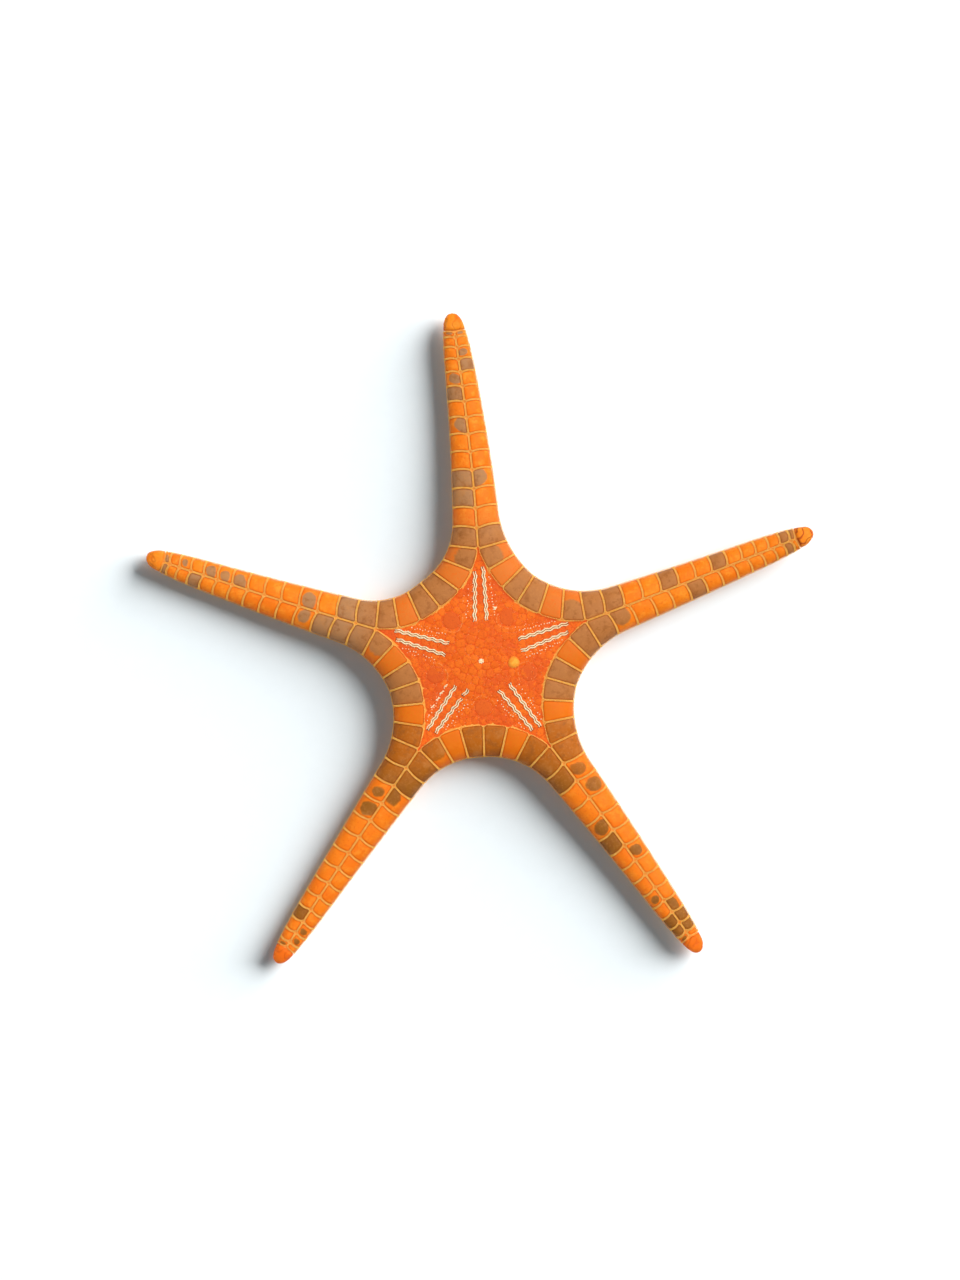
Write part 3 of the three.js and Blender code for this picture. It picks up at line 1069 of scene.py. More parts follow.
def along_rims(seeds, reaches, pitch):
    """Points at even steps along the rims of all cells, once where two rims run together."""
    found, taken = [], set()
    for seed, reach in zip(seeds, reaches):
        rim = seed + RAYS * reach[:, None]
        rim = np.concatenate([rim, rim[:1]])
        travelled = travel(rim)
        for spot in walk(rim, travelled, np.arange(0, travelled[-1], pitch)):
            key = tuple(np.rint(spot / pitch / LEAST_APART).astype(int))
            if key not in taken:
                taken.add(key)
                found.append(spot)
    return np.array(found)


def scatter(name, template, plan, top, radius, tone):
    """Stands a grain of some radius at each place in the plan, with its middle at height top."""
    middle = np.column_stack([plan, top]) - CENTRE
    size = np.broadcast_to(radius, len(plan)) * chance.uniform(*GRAIN_SIZES, len(plan))
    places = (middle[:, None] + template.points[None] * size[:, None, None]) * MM
    return copies(name, template, places, tone=tone)


rim_spots = along_rims(seeds, reaches, GRANULE_PITCH)
rim_spots = rim_spots[chance.random(len(rim_spots)) < GRANULE_SHARE]
rim_spots = rim_spots[inside(rim_spots, field_line * RIM_LIMIT)]
granule_tones = chance.random(len(rim_spots)) ** PALE_RARITY
to_large = np.linalg.norm(rim_spots[:, None] - large_seeds[None], axis=2).min(axis=1)
ringed = (to_large < LARGE_RING) & (chance.random(len(rim_spots)) < RINGED_SHARE)
granule_tones[ringed] = np.maximum(granule_tones[ringed], PALE_TONE)
arcs = []
for seed in large_seeds:
    turn = np.arctan2(-seed[1], -seed[0]) + np.linspace(-ARC_HALF_TURN, ARC_HALF_TURN, ARC_GRANULES)
    arc = seed + towards(turn, ARC_REACH + ARC_WOBBLE * np.sin(4 * turn + seed[0]))
    arcs.append(arc[chance.random(ARC_GRANULES) < ARC_SHARE])
arcs = np.concatenate(arcs)
arcs = arcs[inside(arcs, field_line * ARC_LIMIT)]
rim_spots = np.concatenate([rim_spots, arcs])
granule_tones = np.append(granule_tones, chance.uniform(*ARC_TONES, len(arcs)))
granule_heights = field_height(rim_spots) - GRANULE_SINK
disc_granules = scatter("disc_granules", bead_template, rim_spots, granule_heights, GRANULE_RADIUS,
                        granule_tones)

# %% [markdown]
# ## The white lines
# Along each arm's base run two white lines. Each is a pair of wavy strings of cream beads with a
# groove between them. The groove's shade is painted: a thin dark band lies under both strings and
# shows as a fine painted dark edge outside them too.

# %% Line dimensions
LINE_REACH = {
    (TOP, 1): (8.6, 19.6), (TOP, -1): (8.6, 20.5), (LEFT, -1): (8.2, 20.5), (LEFT, 1): (8.2, 19.7),
    (RIGHT, 1): (9.3, 20.9), (RIGHT, -1): (8.9, 20.2), (LOWER_LEFT, -1): (8.4, 20.0),
    (LOWER_LEFT, 1): (7.5, 19.6), (LOWER_RIGHT, -1): (8.0, 19.6), (LOWER_RIGHT, 1): (8.2, 20.0),
}
LINE_BREAKS = {(LOWER_LEFT, 1): (9.2, 10.0)}
LINE_OFFSETS = (1.37, 0.93)
WAVE_PERIOD = 1.9
WAVE_HEIGHT = 0.13
STRAND_OFFSET = 0.235
STRAND_BEAD = 0.175
STRAND_PITCH = 0.18
STRAND_LIFT = 0.06
STRAND_JITTER = 0.03
STRAND_END = 0.8
STRAND_TAPER = 0.3
BAND_WIDTH = 0.92
BAND_THICKNESS = 0.3
BAND_OVERHANG = 0.12


def on_line(arm_index, side, x, y):
    """Plan of a place beside a white line, y millimetres further from the arm's middle."""
    start, end = LINE_REACH[arm_index, side]
    offset = np.interp(x, (start, end), LINE_OFFSETS)
    wave = WAVE_HEIGHT * np.sin(2 * math.pi * x / WAVE_PERIOD)
    return on_disc(arm_index, side, x, offset + wave + y)


def line_parts(arm_index, side):
    """The stretches of a line along the arm: one, or two where the line is broken."""
    start, end = LINE_REACH[arm_index, side]
    gap = LINE_BREAKS.get((arm_index, side))
    return [(start, gap[0]), (gap[1], end)] if gap else [(start, end)]


# %% Cream strings
fine_bead = model_bead(6, 4)
strand_plan, strand_size = [], []
for row in HALF_ARMS:
    for start, end in line_parts(*row):
        for strand in (-1, 1):
            x = np.arange(start, end, STRAND_PITCH) + chance.uniform(-STRAND_JITTER, STRAND_JITTER)
            strand_plan.append(on_line(*row, x, strand * STRAND_OFFSET))
            grown = np.minimum(np.minimum(x - start, end - x) / STRAND_END, 1)
            strand_size.append(STRAND_BEAD * (1 - STRAND_TAPER + STRAND_TAPER * grown))
strand_plan = np.concatenate(strand_plan)
white_strings = scatter("white_strings", fine_bead, strand_plan, field_height(strand_plan) + STRAND_LIFT,
                        np.concatenate(strand_size), chance.random(len(strand_plan)))

# %% Dark bands of painted groove shade
BAND_CUTS = 63
BAND_BEVEL = 0.12


def model_band():
    """A band of length 1 along X, width 1 and thickness 1, with its top at 0 and cut to bend."""
    band = new_shape(bpy.ops.mesh.primitive_cube_add, size=1, location=(0, 0, -0.5))
    edit(band)
    pick(band, "EDGE", lambda a, b: abs(a.x - b.x) > 0.5)
    bpy.ops.mesh.subdivide(number_cuts=BAND_CUTS)
    pick(band, "EDGE", lambda a, b: abs(a.x - b.x) > 0.001 and a.z > -0.5 and b.z > -0.5)
    bpy.ops.mesh.bevel(offset=BAND_BEVEL, segments=2, affect="EDGES")
    return as_template(band)


band_template = model_band()
x, y, z = band_template.points.T
band_places = []
for row in HALF_ARMS:
    for start, end in line_parts(*row):
        along = start - BAND_OVERHANG + (x + 0.5) * (end - start + 2 * BAND_OVERHANG)
        plan = on_line(*row, along, y * BAND_WIDTH)
        band_places.append(in_frame(plan, field_height(plan) + z * BAND_THICKNESS))
tones = chance.random(len(band_places))
# Painted shade: the dark bands stand for the shade in the grooves under and beside the strings.
groove_shade_bands = copies("groove_shade_bands", band_template, np.array(band_places), tone=tones)
point_faces_out(groove_shade_bands)

# %% [markdown]
# Outside each white line run three dotted rows of pale granules, thinned out by chance, and one
# line has a row of short dashes beside it. A few granules stand in the disc's middle, round the
# pale spot that closes the gut, and a few more make a bright dot by the top arm.

# %% Pale dots
DOT_ROW = (9.6, 19.5)
DOT_PITCH = 0.62
DOT_LINES = ((0.95, 0.1, 0.5), (1.75, 0.16, 0.8), (2.6, 0.1, 0.4))  # offset, radius, share kept
DASHED_ROW = (LOWER_LEFT, -1)
DASH_STARTS = (9.2, 10.9, 12.6, 14.6)
DASH_LENGTH = 0.9
DASH_PITCH = 0.2
BRIGHT_DOT = (2.9, 11.4)
GUT_SPOT = (-0.2, -0.45)
DASH_OFFSET = 1.9
DASH_BEAD = 0.19
DOT_JITTER = 0.12
DOT_SLANT = 0.05
DOT_SINK = 0.07
DOT_LIMIT = 0.96
DOT_RING_TURN = 0.4
DOT_RING_SPREAD = (0.8, 1.3)
DOT_RINGS = ((7, 0.36, 0.25, GUT_SPOT), (3, 0.2, 0.28, BRIGHT_DOT))  # count, spread, radius, middle

dots, dot_sizes = [], []
for row in HALF_ARMS:
    for offset, radius, share in DOT_LINES:
        x = np.arange(*DOT_ROW, DOT_PITCH)
        x = x + chance.uniform(-DOT_JITTER, DOT_JITTER, len(x))
        x = x[chance.random(len(x)) < share]
        y = offset - DOT_SLANT * (x - DOT_ROW[0]) + chance.uniform(-DOT_JITTER, DOT_JITTER, len(x))
        dots.append(on_line(*row, x, y))
        dot_sizes.append(np.full(len(x), radius))
for start in DASH_STARTS:
    x = np.arange(start, start + DASH_LENGTH, DASH_PITCH)
    dots.append(on_line(*DASHED_ROW, x, DASH_OFFSET))
    dot_sizes.append(np.full(len(x), DASH_BEAD))
for count, spread, radius, middle in DOT_RINGS:
    ring = towards(turns(count) + DOT_RING_TURN, spread) * chance.uniform(*DOT_RING_SPREAD, (count, 1))
    dots.append(np.concatenate([ring, [(0, 0)]]) + middle)
    dot_sizes.append(np.full(count + 1, radius))
dots, dot_sizes = np.concatenate(dots), np.concatenate(dot_sizes)
keep = inside(dots, field_line * DOT_LIMIT)
dots, dot_sizes = dots[keep], dot_sizes[keep]
pale_dots = scatter("pale_dots", fine_bead, dots, field_height(dots) - DOT_SINK, dot_sizes,
                    chance.random(len(dots)))

# %% [markdown]
# ## The sieve plate
# The pale round knob beside the middle is the madreporite, through which the animal drew water. It
# starts as a disc whose top is drawn in ring by ring. The rings are then raised to a dome, and fine
# grooves that wander outwards from the middle are pressed into it.

# %% Sieve plate
SIEVE_SIDES = 96
SIEVE_RINGS = 9
SIEVE_DOME = 0.42
SIEVE_GROOVES = 15
SIEVE_GROOVE_DEPTH = 0.07
SIEVE_WANDER = 2.2
SIEVE_WAVINESS = 0.05
SIEVE_THICKNESS = 0.4
SIEVE_SINK = 0.02

sieve_plate = new_shape(bpy.ops.mesh.primitive_cylinder_add, vertices=SIEVE_SIDES, depth=1,
                        location=(0, 0, -0.5))
sieve_plate.name = sieve_plate.data.name = "sieve_plate"
edit(sieve_plate)
pick(sieve_plate, "FACE", faces_up)
for _ in range(SIEVE_RINGS):
    bpy.ops.mesh.inset(thickness=1 / (SIEVE_RINGS + 1))
bpy.ops.mesh.poke()
start_clean()
flat = np.array([v.co for v in sieve_plate.data.vertices])
out = np.hypot(flat[:, 0], flat[:, 1])
turn = np.arctan2(flat[:, 1], flat[:, 0])
waves = np.cos(SIEVE_GROOVES * turn + SIEVE_WANDER * np.sin(4 * out) + 0.8 * np.sin(3 * turn))
fade = np.clip(out * 3 - 0.3, 0, 1) * np.clip(4 - out * 4, 0, 1)  # none in the middle and at the rim
grooves = SIEVE_GROOVE_DEPTH * waves * fade
rim = 1 + SIEVE_WAVINESS * np.cos(3 * turn + 1)
plan = flat[:, :2] * MADREPORITE_RADIUS * rim[:, None] + MADREPORITE_PLAN
top = field_height(plan) + SIEVE_DOME * (1 - out**2.4) - SIEVE_SINK + grooves
set_points(sieve_plate, in_frame(plan, top + flat[:, 2] * SIEVE_THICKNESS))
smooth(sieve_plate)
print("sieve plate", len(sieve_plate.data.polygons), "faces")

# %% [markdown]
# ## The underside
# Below, a furrow runs down the middle of each arm to the mouth. On both sides of it stands a row of
# blocks that carry the spines which close over the furrow. The blocks follow the furrow's edge, so
# that edge is measured first, from the mouth out to the arm's tip, and walked in even steps.

# %% The furrow's edge
FURROW_EDGE_END = PLATES - 0.6
BLOCK_PITCH = 1.35
BLOCK_GAP = 0.12
UNDER_LIFT = 0.02
EDGE_POINTS = 300
EDGE_LOOK = 0.3


def furrow_edge(arm_index, side):
    """The furrow's edge, the inner ends of the lower plates, and how far along the edge each is."""
    steps = np.linspace(0.0, FURROW_EDGE_END, EDGE_POINTS)
    edge, ends = (lay(arm_index, side, steps, across, 0.0) / MM for across in (3.0, 2.0))
    return edge, ends, travel(edge[:, :2])


def on_edge(lines, walked, outwards):
    """Places beside a furrow's edge, some way along it and outwards, on the flat underside."""
    edge, ends, travelled = lines
    spot = walk(edge, travelled, walked)
    plan = edge[:, :2]
    along = walk(plan, travelled, walked + EDGE_LOOK) - walk(plan, travelled, walked - EDGE_LOOK)
    along /= np.maximum(np.linalg.norm(along, axis=-1), TINY)[..., None]
    across = np.stack([-along[..., 1], along[..., 0]], axis=-1)
    to_end = walk(ends[:, :2], travelled, walked) - spot[..., :2]
    across *= np.sign((across * to_end).sum(axis=-1))[..., None]
    spot[..., :2] += across * np.asarray(outwards)[..., None]
    return spot


def block_width(lines, walked):
    """Room for a block between the furrow and the lower plates."""
    edge, ends, travelled = lines
    room = np.linalg.norm((ends - edge)[:, :2], axis=1)
    return min(np.interp(walked, travelled, room), FURROW_PLATE)


# %% Blocks beside the furrow
BLOCK_THICKNESS = 0.5
BLOCK_BEVEL = 0.2


def model_block():
    """A rounded block of length, width and thickness 1 with its top at 0."""
    block = new_shape(bpy.ops.mesh.primitive_cube_add, size=1, location=(0, 0, -0.5))
    edit(block)
    pick(block, "EDGE", lambda a, b: abs(a.z - b.z) > 0.5 or a.z + b.z > -0.5)
    bpy.ops.mesh.bevel(offset=BLOCK_BEVEL, segments=3, affect="EDGES")
    return as_template(block)


block_template = model_block()
furrows = {row: furrow_edge(*row) for row in HALF_ARMS}
x, y, z = block_template.points.T
blocks, block_spots = [], []
for row, lines in furrows.items():
    count = int(lines[2][-1] / BLOCK_PITCH)
    pitch = lines[2][-1] / count
    for number in range(1, count):
        walked = (number + 0.5) * pitch
        width = block_width(lines, walked)
        outwards = (y + 0.5) * (width - BLOCK_GAP) + BLOCK_GAP / 2
        spot = on_edge(lines, walked + x * (pitch - BLOCK_GAP), outwards)
        spot[:, 2] += UNDER_LIFT - z * BLOCK_THICKNESS
        blocks.append(spot * MM)
        block_spots.append((row, walked, width))
tones = chance.random(len(blocks))
furrow_blocks = copies("furrow_blocks", block_template, np.array(blocks), tone=tones)
point_faces_out(furrow_blocks)

# %% [markdown]
# A block carries three thin spines, which lean over the furrow and meet those from its other side,
# and a few short stubs on its face. A spine starts as a short six-sided column, whose end face is
# drawn out three times and narrowed each time. It needs no more faces than that, because there are
# more than a thousand.

# %% Spines
SPINE_FAN = (-0.32, 0.0, 0.32)
SPINE_LENGTH = 0.98
SPINE_RADIUS = 0.16
SPINE_ROOT = 0.3
SPINE_ROOT_OUT = 0.12
SPINE_TIP_HEIGHT = 0.22
SPINE_SPLAY = 1.25
SPINE_WOBBLE = 0.08
SPINE_REACH = 0.92
SPINE_ROOM = 0.15
SPINE_SLIMMING = 0.4
SPINE_CUTS = ((0.3, 0.95), (0.2, 0.72), (0.05, 0.5))  # length and narrowing of each part


def model_spine():
    """A blunt spine of length 1 along X and radius 1."""
    spine = new_shape(bpy.ops.mesh.primitive_cylinder_add, vertices=6, depth=1, location=(0, 0, 0.5))
    edit(spine)
    pick(spine, "FACE", faces_up)
    bpy.ops.transform.translate(value=(0, 0, -sum(height for height, scale in SPINE_CUTS)))
    for height, scale in SPINE_CUTS:
        bpy.ops.mesh.extrude_region_move(TRANSFORM_OT_translate={"value": (0, 0, height)})
        bpy.ops.transform.resize(value=(scale, scale, 1))
    bpy.ops.object.mode_set(mode="OBJECT")
    spine.data.transform(Matrix.Rotation(math.pi / 2, 4, "Y"))
    return as_template(spine)


spine_template = model_spine()


def stand_spines(name, roots, tips, radius):
    """Stands a spine from each root to its tip, in metres in the frame."""
    ahead = tips - roots
    length = np.linalg.norm(ahead, axis=1)
    ahead = ahead / length[:, None]
    sideways = np.cross(ahead, (0, 0, 1))
    sideways /= np.maximum(np.linalg.norm(sideways, axis=1), TINY)[:, None]
    upwards = np.cross(sideways, ahead)
    x, y, z = spine_template.points.T
    places = roots[:, None]
    for axis, shares, size in ((ahead, x, length), (sideways, y, radius), (-upwards, z, radius)):
        places = places + axis[:, None] * (shares[None] * size[:, None])[..., None]
    return copies(name, spine_template, places, tone=chance.random(len(roots)))


roots, tips, thickness = [], [], []
for row, walked, width in block_spots:
    scale = min(width / FURROW_PLATE + SPINE_ROOM, 1)
    for fan in SPINE_FAN:
        wobble = chance.uniform(-SPINE_WOBBLE, SPINE_WOBBLE, 3)
        root = on_edge(furrows[row], walked + fan, SPINE_ROOT_OUT)
        tip = on_edge(furrows[row], walked + fan * SPINE_SPLAY + wobble[0],
                      -SPINE_LENGTH * scale * (SPINE_REACH + wobble[1]))
        root[2] += SPINE_ROOT
        tip[2] += SPINE_TIP_HEIGHT + wobble[2]
        roots.append(root)
        tips.append(tip)
        thickness.append(SPINE_RADIUS * (1 - SPINE_SLIMMING + SPINE_SLIMMING * scale))
furrow_spines = stand_spines("furrow_spines", np.array(roots) * MM, np.array(tips) * MM,
                             np.array(thickness) * MM)

# %% Stubs on the blocks
STUBS = ((-0.28, 0.3), (0.26, 0.36), (0.0, 0.72))
STUB_RADIUS = 0.19
STUB_SPREAD = 1.1
STUB_JITTER = 0.05
STUB_HEIGHT = 0.1
stubs = []
for row, walked, width in block_spots:
    for along, share in STUBS:
        spot = on_edge(furrows[row], walked + along * STUB_SPREAD, share * width)
        stubs.append(spot + (*chance.uniform(-STUB_JITTER, STUB_JITTER, 2), STUB_HEIGHT))
stubs = np.array(stubs) + CENTRE
furrow_stubs = scatter("furrow_stubs", bead_template, stubs[:, :2], stubs[:, 2], STUB_RADIUS,
                       chance.random(len(stubs)))

# %% [markdown]
# Between the furrows and the lower edge plates lie five fields of small plates, one in each notch.
# They are grown as the plates of the disc were, with their tops turned down.

# %% Plates under the disc
UNDER_PITCH = 1.75
UNDER_GRANULE_PITCH = 0.42
UNDER_GRANULE_SHARE = 0.8
UNDER_GRANULE_RADIUS = 0.15
UNDER_GRANULE_HEIGHT = 0.14
FIELD_SHARE = 0.97
FIELD_POINTS = 20
FORWARDS, BACKWARDS = slice(None), slice(None, None, -1)
JAW_ROOM = 2.3


def underside(plan):
    """Height of the flat underside over its plan."""
    return 0 * plan[..., 0] - UNDER_LIFT


def under_field(arm_index):
    """The closed line round the field between an arm and the next one, from the disc's centre."""
    near, far = (arm_index, 1), ((arm_index + 1) % len(ARMS), -1)
    line = []
    for row, way in ((near, BACKWARDS), (far, FORWARDS)):
        line.append(lay(*row, STATIONS_TO_JUNCTION * FIELD_SHARE, 2.0, 0.0)[way, :2] / MM)
    edge_stations = np.linspace(0.0, FURROW_EDGE_END, EDGE_POINTS)
    for row, way in ((far, BACKWARDS), (near, FORWARDS)):
        end = np.interp(DISC_PLATES * FIELD_SHARE, edge_stations, furrows[row][2])
        walked = np.linspace(JAW_ROOM, end, FIELD_POINTS)[way]
        line.append(on_edge(furrows[row], walked, FURROW_PLATE)[:, :2])
    return np.concatenate(line) + CENTRE[:2]


under_seeds, under_reaches = [], []
for arm_index in range(len(ARMS)):
    line = under_field(arm_index)
    grown = spread_seeds(line, np.zeros((0, 2)), np.zeros(0), UNDER_PITCH)[0]
    grown = grown[inside(grown, line)]
    under_seeds.append(grown)
    under_reaches.append(grow_cells(grown, np.zeros(len(grown)), line))
under_seeds, under_reaches = np.concatenate(under_seeds), np.concatenate(under_reaches)
under_plates = fill_cells("under_plates", under_seeds, under_reaches, underside, -BUTTON_THICKNESS)
point_faces_out(under_plates)
rims = along_rims(under_seeds, under_reaches, UNDER_GRANULE_PITCH)
rims = rims[chance.random(len(rims)) < UNDER_GRANULE_SHARE]
heights = np.full(len(rims), UNDER_GRANULE_HEIGHT)
under_granules = scatter("under_granules", bead_template, rims, heights, UNDER_GRANULE_RADIUS,
                         chance.random(len(rims)))

# %% [markdown]
# Five jaws close the mouth. Each is a wedge-shaped plate between two furrows with a fan of stouter
# spines that point to the middle. The wedge is a button drawn out to a point.

# %% Jaws and mouth spines
JAW_REACH = 3.15
JAW_SPINES = 8
JAW_LENGTH = 1.5
JAW_BLUNTNESS = 1.3
JAW_SLIMNESS = 1.3
JAW_THICKNESS = 0.8
FAN_INSET, FAN_CURVE, FAN_WIDTH = 0.7, 0.5, 0.8
MOUTH_SPINE_RADIUS, MOUTH_SPINE_LENGTH = 0.19, 1.75
MOUTH_ROOT_HEIGHT, MOUTH_TIP_HEIGHT = 0.26, 0.16
OUTER_SHORTENING, OUTER_SPREAD, OUTER_RISE = 0.35, 0.35, 0.12  # how the outer spines differ

jaw_seeds, jaw_reaches, roots, tips = [], [], [], []
for arm_index in range(len(ARMS)):
    heading = math.radians(ARMS[arm_index].heading) + half_gap(arm_index, 1)
    inwards = towards(heading, 1)
    sideways = np.array([-inwards[1], inwards[0]])
    jaw_seeds.append(inwards * JAW_REACH)
    forwards, aside = np.abs(towards(turns(BUTTON_SIDES) - heading, 1)).T
    jaw_reaches.append(JAW_LENGTH / (forwards**JAW_BLUNTNESS + JAW_SLIMNESS * aside**JAW_BLUNTNESS))
    for fan in np.linspace(-1, 1, JAW_SPINES):
        root = inwards * (JAW_REACH - FAN_INSET + FAN_CURVE * abs(fan)) + sideways * fan * FAN_WIDTH
        length = MOUTH_SPINE_LENGTH - OUTER_SHORTENING * abs(fan)
        tip = root - inwards * length + sideways * fan * OUTER_SPREAD
        roots.append((*root, MOUTH_ROOT_HEIGHT))
        tips.append((*tip, MOUTH_TIP_HEIGHT + OUTER_RISE * abs(fan)))
jaws = fill_cells("jaws", np.array(jaw_seeds), np.array(jaw_reaches), underside, -JAW_THICKNESS)
point_faces_out(jaws)
roots, tips = (np.array(ends) - CENTRE for ends in (roots, tips))
radii = np.full(len(roots), MOUTH_SPINE_RADIUS * MM)
mouth_spines = stand_spines("mouth_spines", roots * MM, tips * MM, radii)

# %% [markdown]
# ## Finishes
# Dried plates are chalky with a faint waxy gloss. Their colour drifts over the body, is mottled in
# each plate and darkens at the rim, and the surface is finely pitted. All of that comes from noise
# over the object's own coordinates and from the numbers that the copies carry. A finish could be
# wired node by node in the shader editor. Here a small class holds the material while it is made,
# and each of its methods adds one kind of node, which keeps a finish to a few lines.


# %% A finish in the making
class Finish:
    """A material in the making. Its methods add nodes and give back what they put out."""

    def __init__(self, name, specular=0.2):
        self.material = bpy.data.materials.new(name)
        self.material.use_nodes = True
        self.nodes, self.links = self.material.node_tree.nodes, self.material.node_tree.links
        self.shader = self.nodes["Principled BSDF"]
        self.shader.inputs["Specular IOR Level"].default_value = specular
        self.where = self.add("TexCoord")["Object"]
        self.x, self.y, self.z = self.split(self.where)

    def add(self, kind, inputs=(), **settings):
        """Adds a node with its settings. Each input is a plain value or another node's output."""
        node = self.nodes.new("ShaderNode" + kind)
        for setting, value in settings.items():
            setattr(node, setting, value)
        for key, value in dict(inputs).items():
            if isinstance(value, bpy.types.NodeSocket):
                self.links.new(value, node.inputs[key])
            else:
                node.inputs[key].default_value = value
        return node.outputs

    def split(self, vector):
        return self.add("SeparateXYZ", {0: vector}).values()

    def number(self, tag):
        return self.add("Attribute", attribute_name=tag)["Fac"]

    def vector(self, tag):
        return self.split(self.add("Attribute", attribute_name=tag)["Vector"])

    def noise(self, scale, detail=3.0, roughness=0.55):
        """Noise over the object's coordinates. Its scale is in bumps for each metre."""
        inputs = {"Vector": self.where, "Scale": scale, "Detail": detail, "Roughness": roughness}
        return self.add("TexNoise", inputs)["Fac"]

    def pits(self, scale):
        """Distance to the nearest of many scattered points, for a grainy surface."""
        return self.add("TexVoronoi", {"Vector": self.where, "Scale": scale})["Distance"]

    def sums(self, operation, one, other=0.0):
        return self.add("Math", {0: one, 1: other}, operation=operation)["Value"]

    def ramp(self, value, low, high, most=1.0):
        """A smooth step from 0 where a value is low to most where it is high."""
        inputs = {"Value": value, "From Min": low, "From Max": high}
        share = self.add("MapRange", inputs, interpolation_type="SMOOTHSTEP")["Result"]
        return share if most == 1 else self.sums("MULTIPLY", share, most)

    def mix(self, share, one, other):
        """Goes from one colour to another by a share from 0 to 1."""
        one, other = ((*c, 1.0) if isinstance(c, tuple) else c for c in (one, other))
        return self.add("Mix", {0: share, 6: one, 7: other}, data_type="RGBA")[2]

    def tint(self, colour, *layers):
        """Lays colours over one, each as (colour, value, low, high) and the most that it covers."""
        for over, *zone in layers:
            colour = self.mix(self.ramp(*zone), colour, over)
        return colour

    def complete(self, colour, rough, bumps):
        """Links the colour, a roughness that goes from low to high with a share, and bumps, which
        are given as (height, strength, distance in metres)."""
        share, low, high = rough
        spread = self.add("MapRange", {"Value": share, "To Min": low, "To Max": high})["Result"]
        normal = None
        for height, strength, distance in bumps:
            inputs = {"Height": height, "Strength": strength, "Distance": distance}
            if normal:
                inputs["Normal"] = normal
            normal = self.add("Bump", inputs)["Normal"]
        for socket, value in {"Base Color": colour, "Roughness": spread, "Normal": normal}.items():
            self.links.new(value, self.shader.inputs[socket])
        print("finish", self.material.name, len(self.nodes), "nodes")
        return self.material


# %% [markdown]
# The edge plates are orange, and the brown of the marked ones is drawn by distance from the mark's
# middle, with noise to fray its edge. Both colours change over the animal: the orange is redder by
# the disc, and the brown is greyer at the top and on the left, warm in the middle and a darker olive
# at the bottom, whose darkness is partly painted shade. Towards the floor all plates pale to cream.
# The zones say where a colour starts and where it is full, in metres.

# %% Finish of the edge plates
ORANGE = (0.97, 0.24, 0.008)
LIGHT_ORANGE = (1.0, 0.32, 0.024)
DEEP_ORANGE = (0.9, 0.17, 0.004)
RED_ORANGE = (0.75, 0.158, 0.003)
PINKISH = (0.72, 0.176, 0.024)
GRAIN_RED = (0.84, 0.14, 0.006)
GREY_BROWN = (0.48, 0.175, 0.046)
WARM_BROWN = (0.49, 0.125, 0.005)
# The olive brown below is partly the brown's own hue and partly painted shade.
ARM_BROWN = (0.45, 0.21, 0.084)
SHADED_OLIVE_BROWN = (0.27, 0.105, 0.012)
DARK_BROWN = (0.29, 0.085, 0.014)
LIGHT_BROWN = (0.6, 0.24, 0.06)
RIM_RED = (0.55, 0.09, 0.01)
CREAM_ORANGE = (0.90, 0.47, 0.19)
SOUTH, WARM_ZONE, OLIVE_ZONE = (0.012, -0.016), (-0.011, -0.021), (-0.024, -0.036)
WEST, NEAR_DISC, OFF_DISC = (0.01, 0.0), (0.036, 0.022), (0.022, 0.032)
LOW_DOWN = (0.0026, 0.0004)
MARK_FLATNESS = 1.25
MARK_FRAY = 0.34
MARK_SOFTNESS = 0.11


